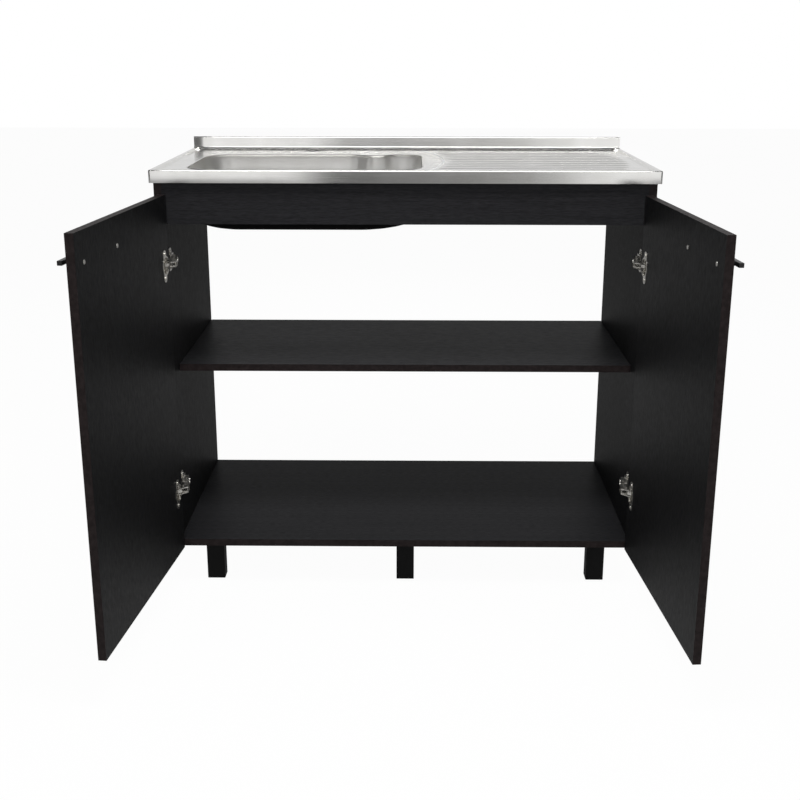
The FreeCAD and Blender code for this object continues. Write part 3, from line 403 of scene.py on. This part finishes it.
class Shell:
    """Vertices and faces of a sheet, built up from loops."""

    def __init__(self):
        self.points = []
        self.faces = []

    def loop(self, flat, height):
        first = len(self.points)
        self.points += [(p.x, p.y, height) for p in flat]
        return list(range(first, len(self.points)))

    def bridge(self, outer, inner, closed=True):
        """Strip of quads from one loop to the next inner one, seen from above."""
        count = len(outer)
        for k in range(count if closed else count - 1):
            n = (k + 1) % count
            self.faces.append((outer[k], outer[n], inner[n], inner[k]))

    def fill(self, outer, holes):
        """Flat fill inside one loop and round the holes."""
        loops = [outer] + holes
        ids = [i for loop in loops for i in loop]
        flat = [Vector(self.points[i][:2]) for i in ids]
        edges = []
        start = 0
        for loop in loops:
            count = len(loop)
            edges += [(start + k, start + (k + 1) % count) for k in range(count)]
            start += count
        verts, _, faces, origins, *_ = delaunay_2d_cdt(flat, edges, [], 0, 1e-7)
        height = self.points[outer[0]][2]
        places = []
        for vert, origin in zip(verts, origins):
            if origin:
                places.append(ids[origin[0]])
            else:
                places.append(len(self.points))
                self.points.append((vert.x, vert.y, height))
        edge_loops = [[Vector(self.points[i][:2]) for i in loop] for loop in loops]
        for face in faces:
            centre = sum((verts[i] for i in face), Vector((0, 0))) / len(face)
            in_hole = any(inside(centre, hole) for hole in edge_loops[1:])
            if inside(centre, edge_loops[0]) and not in_hole:
                self.faces.append(tuple(places[i] for i in face))

    def mesh(self, name):
        result = bpy.data.meshes.new(name)
        result.from_pydata(self.points, [], self.faces)
        work = bmesh.new()
        work.from_mesh(result)
        bmesh.ops.remove_doubles(work, verts=work.verts, dist=MERGE_DISTANCE)
        bmesh.ops.recalc_face_normals(work, faces=work.faces)
        if max(work.faces, key=lambda f: f.calc_center_median().z).normal.z < 0:
            bmesh.ops.reverse_faces(work, faces=work.faces)
        work.to_mesh(result)
        work.free()
        return result


# The deck, its rim and its lip
SINK_LOW, SINK_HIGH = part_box("sink_top")
BOWL_LOW, BOWL_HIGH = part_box("sink_bowl")
SHEET = 1.0 * MM
VISIBLE_SHEET = 0.9 * MM
MIDDLE_X = (SINK_LOW.x + SINK_HIGH.x) / 2
FRONT_Y = SINK_LOW.y
BACK_Y = SINK_HIGH.y
PAN_Z = BOWL_HIGH.z
RIM_RISE = 4 * MM
RIM_Z = PAN_Z + RIM_RISE
RIM_WIDTH = 8 * MM
STEP_WIDTH = 4 * MM
PAN_CORNER_RADIUS = 10 * MM
LIP_BEND = 2.5 * MM
LIP_CORNER = 4 * MM
AT_WALL = 0.1 * MM

# The bowl's outline at its rim, with the ridge that reaches in from the rear
BOWL_X0, BOWL_X1 = BOWL_LOW.x + SHEET, BOWL_HIGH.x - SHEET
BOWL_Y0, BOWL_Y1 = BOWL_LOW.y + SHEET, BOWL_HIGH.y - SHEET
RIM_ROLL = 5 * MM
BOWL_CORNER = 68 * MM
BOWL_RIDGE_CORNER = 40 * MM
RIDGE_RADIUS = 42 * MM
RIDGE_REACH = 34 * MM
RIDGE_LEFT_RUN = 52 * MM
RIDGE_RIGHT_RUN = 38 * MM
RIDGE_FROM_MIDDLE = 139 * MM
RIDGE_TIP_X = (BOWL_X0 + BOWL_X1) / 2 + RIDGE_FROM_MIDDLE
BOWL_CORNERS = [
    (BOWL_X0, BOWL_Y0, BOWL_CORNER),
    (BOWL_X1, BOWL_Y0, BOWL_CORNER),
    (BOWL_X1, BOWL_Y1, BOWL_RIDGE_CORNER),
    (RIDGE_TIP_X + RIDGE_RIGHT_RUN, BOWL_Y1, RIDGE_RADIUS),
    (RIDGE_TIP_X, BOWL_Y1 - RIDGE_REACH, RIDGE_RADIUS),
    (RIDGE_TIP_X - RIDGE_LEFT_RUN, BOWL_Y1, RIDGE_RADIUS),
    (BOWL_X0, BOWL_Y1, BOWL_CORNER)]

# The bowl's floor, smaller than the rim by the foot's run
RECESS_DEPTH = 5 * MM
BOWL_FLOOR = BOWL_LOW.z + SHEET + RECESS_DEPTH
WALL_FOOT = 38 * MM
FOOT_RUN = 70 * MM
FOOT_RUN_LEFT = 88 * MM
FOOT_RUN_RIGHT = 122 * MM
FLOOR_CORNER = 34 * MM
FLOOR_RIDGE_CORNER = 30 * MM
FLOOR_RIDGE_RADIUS = 40 * MM
FLOOR_RIDGE_REACH = 6 * MM
FLOOR_LEFT_RUN = 40 * MM
FLOOR_RIGHT_RUN = 24 * MM
FLOOR_TIP_LEFT_OF_RIDGE = 88 * MM
FLOOR_TIP_X = RIDGE_TIP_X - FLOOR_TIP_LEFT_OF_RIDGE
FLOOR_X0, FLOOR_X1 = BOWL_X0 + FOOT_RUN_LEFT, BOWL_X1 - FOOT_RUN_RIGHT
FLOOR_Y0, FLOOR_Y1 = BOWL_Y0 + FOOT_RUN, BOWL_Y1 - FOOT_RUN
FLOOR_CORNERS = [
    (FLOOR_X0, FLOOR_Y0, FLOOR_CORNER),
    (FLOOR_X1, FLOOR_Y0, FLOOR_CORNER),
    (FLOOR_X1, FLOOR_Y1, FLOOR_RIDGE_CORNER),
    (FLOOR_TIP_X + FLOOR_RIGHT_RUN, FLOOR_Y1, FLOOR_RIDGE_RADIUS),
    (FLOOR_TIP_X, FLOOR_Y1 - FLOOR_RIDGE_REACH, FLOOR_RIDGE_RADIUS),
    (FLOOR_TIP_X - FLOOR_LEFT_RUN, FLOOR_Y1, FLOOR_RIDGE_RADIUS),
    (FLOOR_X0, FLOOR_Y1, FLOOR_CORNER)]

# The tap hole and the waste hole
TAP_FROM_MIDDLE = 215 * MM
TAP_FROM_BACK = 52 * MM
TAP = Vector((MIDDLE_X - TAP_FROM_MIDDLE, BACK_Y - TAP_FROM_BACK))
TAP_RADIUS = 17.5 * MM
TAP_EASE = 0.2 * MM
TAP_SIDES = 48
WASTE = Vector(((BOWL_X0 + BOWL_X1) / 2, (BOWL_Y0 + BOWL_Y1) / 2))
WASTE_RADIUS = 45 * MM
RECESS_RADIUS = 58 * MM
RECESS_EDGE = 3 * MM
WASTE_SIDES = 64

# The backsplash, whose left end is turned back
COVE = 3 * MM
BACKSPLASH_THICKNESS = 8 * MM
TOP_ROLL = 2.5 * MM
TURNED_RUN = 24 * MM
TURNED_BACK = 3 * MM
TURNED_POWER = 1.3


def circle(centre, radius, count):
    turns = [math.tau * k / count for k in range(count)]
    return [centre + Vector((math.cos(turn), math.sin(turn))) * radius for turn in turns]


def quarter(steps):
    """Sine and cosine pairs along a quarter turn."""
    return [(math.sin(math.pi / 2 * k / steps), math.cos(math.pi / 2 * k / steps))
            for k in range(steps + 1)]


def bowl_loop(shell, inset, height):
    return shell.loop(rounded_loop(moved_out(BOWL_CORNERS, -inset)), height)


def foot_loop(shell, share, height):
    """Between the wall's outline and the floor's smaller, plainer one."""
    wall = rounded_loop(BOWL_CORNERS)
    floor = rounded_loop(FLOOR_CORNERS)
    return shell.loop([a.lerp(b, share) for a, b in zip(wall, floor)], height)


def bowl_surface(shell):
    """From the rim down the wall, round the foot, over the floor and into the waste. The rim
    turns out under the deck, where a real pressing rolls over into the bowl."""
    loops = [bowl_loop(shell, -RIM_ROLL * s, PAN_Z - RIM_ROLL * (1 - c)) for s, c in quarter(5)]
    outer = loops[0]
    wall_bottom = BOWL_FLOOR + WALL_FOOT
    for k in range(1, 5):
        height = PAN_Z - RIM_ROLL + (wall_bottom - PAN_Z + RIM_ROLL) * k / 4
        loops.append(bowl_loop(shell, 0.0, height))
    for s, c in quarter(9)[1:]:
        loops.append(foot_loop(shell, 1 - c, BOWL_FLOOR + WALL_FOOT * (1 - s)))
    for a, b in zip(loops, loops[1:]):
        shell.bridge(a, b)
    recess = [shell.loop(circle(WASTE, RECESS_RADIUS + RECESS_EDGE * (1 - s), WASTE_SIDES),
                         BOWL_FLOOR - RECESS_EDGE * (1 - c))
              for s, c in quarter(4)]
    recess += [shell.loop(circle(WASTE, RECESS_RADIUS - RECESS_EDGE * (1 - c), WASTE_SIDES),
                          BOWL_FLOOR - RECESS_DEPTH + (RECESS_DEPTH - RECESS_EDGE) * (1 - s))
               for s, c in quarter(4)[1:]]
    shell.fill(loops[-1], [recess[0]])
    recess.append(shell.loop(circle(WASTE, WASTE_RADIUS, WASTE_SIDES), BOWL_FLOOR - RECESS_DEPTH))
    for a, b in zip(recess, recess[1:]):
        shell.bridge(a, b)
    return outer


def pan_rectangle(inset, radius):
    x0, x1 = SINK_LOW.x + inset, SINK_HIGH.x - inset
    y0, y1 = FRONT_Y + inset, BACK_Y - inset - COVE
    return [(x0, y0, radius), (x1, y0, radius), (x1, y1, radius), (x0, y1, radius)]


def deck_surface(shell, bowl_rim):
    """The pan's floor, its step up to the rim, and the folded lip on the front and the sides."""
    loops = []
    for k in range(9):
        t = k / 8
        smooth = t * t * (3 - 2 * t)
        outline = pan_rectangle(RIM_WIDTH + STEP_WIDTH * (1 - t), PAN_CORNER_RADIUS + STEP_WIDTH * t)
        loops.append(shell.loop(rounded_loop(outline), PAN_Z + (RIM_Z - PAN_Z) * smooth))
    for outer, inner in zip(loops[1:], loops):
        shell.bridge(outer, inner)
    tap_steps = [shell.loop(circle(TAP, TAP_RADIUS + TAP_EASE * (1 - s), TAP_SIDES),
                            PAN_Z - TAP_EASE * (1 - c)) for s, c in quarter(3)]
    for a, b in zip(tap_steps, tap_steps[1:]):
        shell.bridge(a, b)
    shell.fill(loops[0], [bowl_rim, tap_steps[0]])
    lip = [(LIP_BEND * (1 - s), -LIP_BEND * (1 - c)) for s, c in quarter(5)]
    lip.append((0.0, SINK_LOW.z - RIM_Z))
    rings = []
    for inset, drop in lip:
        x0, x1 = SINK_LOW.x + inset, SINK_HIGH.x - inset
        corner = LIP_CORNER - inset
        outline = [(x0, FRONT_Y + inset, corner), (x1, FRONT_Y + inset, corner),
                   (x1, BACK_Y, POINT_LIKE), (x0, BACK_Y, POINT_LIKE)]
        rings.append(shell.loop(rounded_loop(outline), RIM_Z + drop))
    shell.fill(rings[0], [loops[-1]])
    for inner, outer in zip(rings, rings[1:]):
        shell.bridge(outer, inner)
    # The backsplash's own rear leaf stands where the lip's rear faces would
    at_wall = {i for i, p in enumerate(shell.points) if p[1] > BACK_Y - AT_WALL}
    shell.faces = [face for face in shell.faces if not at_wall.issuperset(face)]


def backsplash_shell():
    """Folded upstand: a cove from the rim, the riser, a rolled top and the rear leaf, with its
    left end turned back a little."""
    roll = TOP_ROLL
    top = SINK_HIGH.z
    front = BACK_Y - BACKSPLASH_THICKNESS
    profile = [(front - COVE + COVE * s, RIM_Z + COVE * (1 - c)) for s, c in quarter(5)]
    profile += [(front + roll * (1 - c), top - roll + roll * s) for s, c in quarter(5)]
    profile += [(BACK_Y - roll + roll * s, top - roll + roll * c) for s, c in quarter(5)]
    profile.append((BACK_Y, SINK_LOW.z))
    shell = Shell()
    columns = []
    spans = 40
    straight = SINK_HIGH.x - SINK_LOW.x - TURNED_RUN
    places = [TURNED_RUN * k / 8 for k in range(8)]
    places += [TURNED_RUN + straight * k / spans for k in range(spans + 1)]
    for from_left in places:
        back = TURNED_BACK * max(0.0, 1 - from_left / TURNED_RUN) ** TURNED_POWER
        first = len(shell.points)
        for y, z in profile:
            turned_y = min(y + back, BACK_Y - roll) if y < BACK_Y - roll else y
            shell.points.append((SINK_LOW.x + from_left, turned_y, z))
        columns.append(list(range(first, len(shell.points))))
    for left, right in zip(columns, columns[1:]):
        shell.bridge(left, right, closed=False)
    for at_right, column in ((False, columns[0]), (True, columns[-1])):
        x, y = shell.points[column[0]][:2]
        first = len(shell.points)
        shell.points += [(x, BACK_Y, RIM_Z - LIP_BEND), (x, y, RIM_Z - LIP_BEND)]
        cap = column[:-1] + [first, first + 1]
        shell.faces.append(tuple(cap if at_right else cap[::-1]))
    return shell


BOWL_STEEL_BELOW = 1 * MM
COAT_BELOW = 3 * MM


def sheet_thickness(mesh, thickness):
    """The sheet's underside, a second skin below the first, dark under the bowl."""
    holder = bpy.data.objects.new("sheet", mesh)
    bpy.context.scene.collection.objects.link(holder)
    on_deck, on_underside, in_steel_bowl = range(3)
    for material in (DECK_STEEL, UNDERCOAT, BOWL_STEEL):
        mesh.materials.append(material)
    solid = holder.modifiers.new("sheet", "SOLIDIFY")
    solid.thickness = thickness
    solid.offset = -1.0
    solid.material_offset = on_underside
    depsgraph = bpy.context.evaluated_depsgraph_get()
    result = bpy.data.meshes.new_from_object(holder.evaluated_get(depsgraph))
    bpy.data.objects.remove(holder)
    for polygon in result.polygons:
        x, y, z = polygon.center
        in_bowl = (BOWL_X0 - RIM_ROLL < x < BOWL_X1 + RIM_ROLL
                   and BOWL_Y0 - RIM_ROLL < y < BOWL_Y1 + RIM_ROLL)
        if polygon.material_index == on_deck and in_bowl and z < PAN_Z - BOWL_STEEL_BELOW:
            polygon.material_index = in_steel_bowl
        elif z > PAN_Z - COAT_BELOW or not in_bowl:
            polygon.material_index = on_deck
    return result


def joined(meshes, name):
    work = bmesh.new()
    for mesh in meshes:
        work.from_mesh(mesh)
    result = bpy.data.meshes.new(name)
    work.to_mesh(result)
    work.free()
    for material in meshes[0].materials:
        result.materials.append(material)
    return result


LEVEL_FACE = 0.99999


def pressed_sink():
    """Deck, bowl and backsplash as one piece. Its level faces stay flat shaded, so that the
    bends beside them don't tint them."""
    shell = Shell()
    deck_surface(shell, bowl_surface(shell))
    sheet = sheet_thickness(shell.mesh("sink_sheet"), VISIBLE_SHEET)
    mesh = joined([sheet, backsplash_shell().mesh("backsplash")], "pressed_sink")
    finished(mesh, "pressed_sink", None, "cabinet", ["sink_top", "sink_bowl"],
             crease=40.0)
    for polygon in mesh.polygons:
        if abs(polygon.normal.z) > LEVEL_FACE:
            polygon.use_smooth = False


pressed_sink()


# ---- the drainer's ribs, pressed up out of the deck
RIB_COUNT = 10
RIB_PITCH = 38 * MM
RIB_WIDTH = 12 * MM
RIB_HEIGHT = 1.1 * MM
RIB_LENGTH = 386 * MM
RIBS_AFTER_BOWL = 51 * MM
RIBS_FROM_FRONT = 245 * MM
RIB_LEFT = BOWL_X1 + RIBS_AFTER_BOWL
RIB_MIDDLE_Y = FRONT_Y + RIBS_FROM_FRONT
RIB_ARC_RADIUS = 620 * MM
RIB_END = 9 * MM
EDGE_WIDTH = 5 * MM
EDGE_HEIGHT = 0.5 * MM
EDGE_BEFORE_RIBS = 6 * MM
EDGE_ENDS = 60 * MM
ABOVE_DECK = 0.02 * MM


def rib_mesh():
    """One rib from its left end at the origin: a bell in section, dying out at both ends."""
    across, along = 12, 24
    points = []
    for i in range(along + 1):
        turn = math.pi * i / along
        x = RIB_LENGTH / 2 * (1 - math.cos(turn))
        near_end = min(x, RIB_LENGTH - x)
        share = min(1.0, near_end / RIB_END)
        width = RIB_WIDTH / 2 * math.sqrt(1 - (1 - share) ** 2 * 0.98)
        rise = RIB_HEIGHT * share * share * (3 - 2 * share)
        for j in range(across + 1):
            t = 2 * j / across - 1
            points.append((x, t * width, rise * math.cos(math.pi / 2 * t) ** 2))
    faces = []
    for i in range(along):
        for j in range(across):
            a = i * (across + 1) + j
            faces.append((a, a + across + 1, a + across + 2, a + 1))
    mesh = bpy.data.meshes.new("drainer_rib")
    mesh.from_pydata(points, [], faces)
    mesh.polygons.foreach_set("use_smooth", [True] * len(mesh.polygons))
    return mesh


def drainer_edge():
    """The low bead on an arc where the ribs begin."""
    across, along = 6, 48
    reach = BACK_Y - FRONT_Y - EDGE_ENDS
    shell = Shell()
    rows = []
    for i in range(along + 1):
        y = (i / along - 0.5) * reach
        x = math.sqrt(RIB_ARC_RADIUS ** 2 - y * y) - RIB_ARC_RADIUS - EDGE_BEFORE_RIBS
        first = len(shell.points)
        for j in range(across + 1):
            t = 2 * j / across - 1
            height = EDGE_HEIGHT * math.cos(math.pi / 2 * t) ** 2
            shell.points.append((x + t * EDGE_WIDTH / 2, y, height))
        rows.append(list(range(first, len(shell.points))))
    for near, far in zip(rows, rows[1:]):
        shell.bridge(far, near, closed=False)
    mesh = shell.mesh("drainer_edge")
    mesh.polygons.foreach_set("use_smooth", [True] * len(mesh.polygons))
    return mesh


def rib_row(rib):
    """Geometry Nodes: copies the rib at an even pitch, each set back onto one arc."""
    tree = bpy.data.node_groups.new("rib_row", "GeometryNodeTree")
    tree.interface.new_socket("Pitch", in_out="INPUT", socket_type="NodeSocketFloat")
    tree.interface.new_socket("Geometry", in_out="OUTPUT", socket_type="NodeSocketGeometry")
    given = add_node(tree, "NodeGroupInput")
    centred = add_node(tree, "ShaderNodeMath",
                       {0: add_node(tree, "GeometryNodeInputIndex").outputs[0]},
                       {1: (RIB_COUNT - 1) / 2}, operation="SUBTRACT")
    y = add_node(tree, "ShaderNodeMath", {0: centred.outputs[0], 1: given.outputs["Pitch"]},
                 operation="MULTIPLY")
    squared = add_node(tree, "ShaderNodeMath", {0: y.outputs[0], 1: y.outputs[0]},
                       operation="MULTIPLY")
    left = add_node(tree, "ShaderNodeMath", {1: squared.outputs[0]}, {0: RIB_ARC_RADIUS ** 2},
                    operation="SUBTRACT")
    root = add_node(tree, "ShaderNodeMath", {0: left.outputs[0]}, operation="SQRT")
    x = add_node(tree, "ShaderNodeMath", {0: root.outputs[0]}, {1: RIB_ARC_RADIUS},
                 operation="SUBTRACT")
    place = add_node(tree, "ShaderNodeCombineXYZ", {"X": x.outputs[0], "Y": y.outputs[0]})
    points = add_node(tree, "GeometryNodePoints", {"Position": place.outputs[0]},
                      {"Count": RIB_COUNT})
    source = add_node(tree, "GeometryNodeObjectInfo", values={"Object": rib})
    copies = add_node(tree, "GeometryNodeInstanceOnPoints",
                      {"Points": points.outputs[0], "Instance": source.outputs["Geometry"]})
    real = add_node(tree, "GeometryNodeRealizeInstances", {"Geometry": copies.outputs[0]})
    dressed = add_node(tree, "GeometryNodeSetMaterial", {"Geometry": real.outputs[0]},
                       {"Material": DECK_STEEL})
    add_node(tree, "NodeGroupOutput", {"Geometry": dressed.outputs[0]})
    return tree


def drainer_ribs():
    rib = bpy.data.objects.new("drainer_rib", rib_mesh())
    bpy.context.scene.collection.objects.link(rib)
    holder = bpy.data.objects.new("rib_row", bpy.data.meshes.new("rib_row"))
    bpy.context.scene.collection.objects.link(holder)
    row = holder.modifiers.new("row", "NODES")
    row.node_group = rib_row(rib)
    pitch = next(item for item in row.node_group.interface.items_tree if item.name == "Pitch")
    row[pitch.identifier] = RIB_PITCH
    depsgraph = bpy.context.evaluated_depsgraph_get()
    mesh = bpy.data.meshes.new_from_object(holder.evaluated_get(depsgraph))
    bpy.data.objects.remove(holder)
    bpy.data.objects.remove(rib)
    mesh = joined([mesh, drainer_edge()], "drainer_ribs")
    mesh.transform(Matrix.Translation((RIB_LEFT, RIB_MIDDLE_Y, PAN_Z + ABOVE_DECK)))
    return finished(mesh, "drainer_ribs", None, "cabinet", [], crease=None)


drainer_ribs()


# ---- materials of the CAD's own pieces
# black_board nodes take the doors' melamine copy, with its painted shade
SLOT_MATERIALS = {"plated_steel": PLATED, "dowel_wood": BEECH, "black_board": UPRIGHT,
                  "leg_plastic": PLASTIC, "handle_black": LACQUER, "sink_steel": DECK_STEEL}
for node, piece in frame["nodes"].items():
    piece.data.materials.clear()
    piece.data.materials.append(SLOT_MATERIALS[slot_of(node)])


# ---- studio
def ray_white(tree, plain, white, in_gloss=1.0):
    """The plain surface for the object's light, and white for what the camera, glass and, by
    the given share, gloss see."""
    path = add_node(tree, "ShaderNodeLightPath")
    gloss = add_node(tree, "ShaderNodeMath", {0: path.outputs["Is Glossy Ray"]}, {1: in_gloss},
                     operation="MULTIPLY")
    seen = add_node(tree, "ShaderNodeMath", {0: path.outputs["Is Camera Ray"], 1: gloss.outputs[0]},
                    operation="MAXIMUM")
    seen = add_node(tree, "ShaderNodeMath",
                    {0: seen.outputs[0], 1: path.outputs["Is Transmission Ray"]},
                    operation="MAXIMUM")
    mixed = add_node(tree, "ShaderNodeMixShader", {0: seen.outputs[0], 1: plain, 2: white})
    return mixed.outputs[0]


def studio_floor():
    """White to the camera, with a share of the plain floor left in to hold the shadow."""
    mesh = bpy.data.meshes.new("studio_floor")
    half = 14.0
    mesh.from_pydata([(-half, -half, 0), (half, -half, 0), (half, half, 0), (-half, half, 0)], [],
                     [(0, 1, 2, 3)])
    floor = bpy.data.objects.new("studio_floor", mesh)
    bpy.context.scene.collection.objects.link(floor)
    material, tree = new_material("pale_floor")
    plain = add_node(tree, "ShaderNodeBsdfDiffuse", values={"Color": (0.5, 0.5, 0.5, 1)})
    glow = add_node(tree, "ShaderNodeEmission", values={"Strength": 1.05})
    part_white = add_node(tree, "ShaderNodeMixShader", {1: plain.outputs[0], 2: glow.outputs[0]},
                          {0: 0.92})
    add_node(tree, "ShaderNodeOutputMaterial",
             {"Surface": ray_white(tree, plain.outputs[0], part_white.outputs[0], 0.25)})
    mesh.materials.append(material)


def studio_world():
    """White for the camera. What gloss sees is white low down and dimmer overhead and to both
    sides, and a little brighter in front than behind."""
    world = bpy.data.worlds.new("studio")
    bpy.context.scene.world = world
    world.use_nodes = True
    tree = world.node_tree
    tree.nodes.clear()
    plain = add_node(tree, "ShaderNodeBackground", values={"Color": (1, 1, 1, 1), "Strength": 0.15})
    white = add_node(tree, "ShaderNodeBackground", values={"Color": (1, 1, 1, 1), "Strength": 1.0})
    aim = add_node(tree, "ShaderNodeTexCoord")
    toward = add_node(tree, "ShaderNodeSeparateXYZ", {"Vector": aim.outputs["Generated"]})
    ceiling = add_node(tree, "ShaderNodeMapRange", {"Value": toward.outputs["Z"]},
                       {"From Min": 0.3, "From Max": 0.75, "To Min": 1.0, "To Max": 0.15},
                       interpolation_type="SMOOTHSTEP")
    left = add_node(tree, "ShaderNodeMapRange", {"Value": toward.outputs["X"]},
                    {"From Min": -0.42, "From Max": -0.25, "To Min": 0.08, "To Max": 1.0},
                    interpolation_type="SMOOTHSTEP")
    right = add_node(tree, "ShaderNodeMapRange", {"Value": toward.outputs["X"]},
                     {"From Min": 0.3, "From Max": 0.6, "To Min": 1.0, "To Max": 0.15},
                     interpolation_type="SMOOTHSTEP")
    sides = add_node(tree, "ShaderNodeMath", {0: left.outputs[0], 1: right.outputs[0]},
                     operation="MULTIPLY")
    front = add_node(tree, "ShaderNodeMapRange", {"Value": toward.outputs["Y"]},
                     {"From Min": -0.4, "From Max": 0.4, "To Min": 1.2, "To Max": 0.92})
    sides = add_node(tree, "ShaderNodeMath", {0: sides.outputs[0], 1: front.outputs[0]},
                     operation="MULTIPLY")
    shade = add_node(tree, "ShaderNodeMath", {0: ceiling.outputs[0], 1: sides.outputs[0]},
                     operation="MULTIPLY")
    gloss = add_node(tree, "ShaderNodeBackground", {"Strength": shade.outputs[0]})
    path = add_node(tree, "ShaderNodeLightPath")
    shown = add_node(tree, "ShaderNodeMixShader",
                     {0: path.outputs["Is Glossy Ray"], 1: white.outputs[0], 2: gloss.outputs[0]})
    add_node(tree, "ShaderNodeOutputWorld",
             {"Surface": ray_white(tree, plain.outputs[0], shown.outputs[0])})


def grey_card(name, x0, x1, y, z0, z1, stops):
    """An upright card behind the camera, facing the unit, that only reflections see."""
    mesh = bpy.data.meshes.new(name)
    mesh.from_pydata([(x0, y, z0), (x1, y, z0), (x1, y, z1), (x0, y, z1)], [], [(0, 1, 2, 3)])
    card = bpy.data.objects.new(name, mesh)
    bpy.context.scene.collection.objects.link(card)
    for ray in ("camera", "diffuse", "shadow", "transmission", "volume_scatter"):
        setattr(card, "visible_" + ray, False)
    material, tree = new_material(name)
    place = add_node(tree, "ShaderNodeTexCoord")
    across = add_node(tree, "ShaderNodeSeparateXYZ", {"Vector": place.outputs["Object"]})
    share = add_node(tree, "ShaderNodeMapRange", {"Value": across.outputs["X"]},
                     {"From Min": x0, "From Max": x1})
    shade = ramp(tree, share.outputs[0], stops)
    glow = add_node(tree, "ShaderNodeEmission", {"Color": shade}, {"Strength": 1.0})
    add_node(tree, "ShaderNodeOutputMaterial", {"Surface": glow.outputs[0]})
    mesh.materials.append(material)


def softbox(name, place, target, width, height, power, in_gloss=False):
    light = bpy.data.lights.new(name, "AREA")
    light.shape = "RECTANGLE"
    light.size = width
    light.size_y = height
    light.energy = power
    lamp = bpy.data.objects.new(name, light)
    lamp.location = place
    lamp.rotation_mode = "QUATERNION"
    lamp.rotation_quaternion = (Vector(target) - Vector(place)).to_track_quat("-Z", "Y")
    lamp.visible_glossy = in_gloss
    bpy.context.scene.collection.objects.link(lamp)


studio_floor()
studio_world()
grey_card("camera_side_card", -0.5, 1.0, -2.75, 0.1, 1.2,
          [(0.04, "#ffffff"), (0.08, "#181818"), (0.16, "#202020"), (0.21, "#707070"),
           (0.36, "#7c7c7c"), (0.63, "#90908e"), (0.75, "#b0b0b0"), (0.88, "#ffffff")])
softbox("overhead_softbox", (0.0, -0.7, 2.3), (0, -0.2, 0.6), 1.6, 0.6, 24, in_gloss=True)
softbox("front_softbox", (0.0, -3.4, 1.5), (0, 0, 0.5), 1.2, 0.8, 40)
softbox("rear_softbox", (0.0, 3.2, 1.8), (0, 0, 0.5), 1.6, 1.0, 16)
softbox("left_softbox", (-2.6, -2.2, 1.9), (0, 0, 0.5), 1.0, 1.2, 7, in_gloss=True)
softbox("right_softbox", (2.6, -2.2, 1.9), (0, 0, 0.5), 1.0, 1.2, 7, in_gloss=True)

# ---- camera, at the photograph's viewing angle
CAMERA_PLACE = Vector((0.0208, -2.3512, 1.1318))
CAMERA_YAW = -0.0105
CAMERA_PITCH = 0.294
CAMERA_ROLL = -0.001
LENS_PER_WIDTH = 1188.4 / 800
camera = bpy.data.objects.new("camera", bpy.data.cameras.new("camera"))
bpy.context.scene.collection.objects.link(camera)
camera.data.sensor_width = 36.0
camera.data.lens = 36.0 * LENS_PER_WIDTH
ahead = Vector((math.sin(CAMERA_YAW) * math.cos(CAMERA_PITCH),
                math.cos(CAMERA_YAW) * math.cos(CAMERA_PITCH), -math.sin(CAMERA_PITCH)))
right = Vector((math.cos(CAMERA_YAW), -math.sin(CAMERA_YAW), 0))
up = right.cross(ahead)
turn = Matrix.Rotation(CAMERA_ROLL, 3, ahead)
right, up = turn @ right, turn @ up
camera.matrix_world = Matrix((right, up, -ahead)).transposed().to_4x4()
camera.location = CAMERA_PLACE
bpy.context.scene.camera = camera
bpy.context.scene.view_settings.view_transform = "Standard"
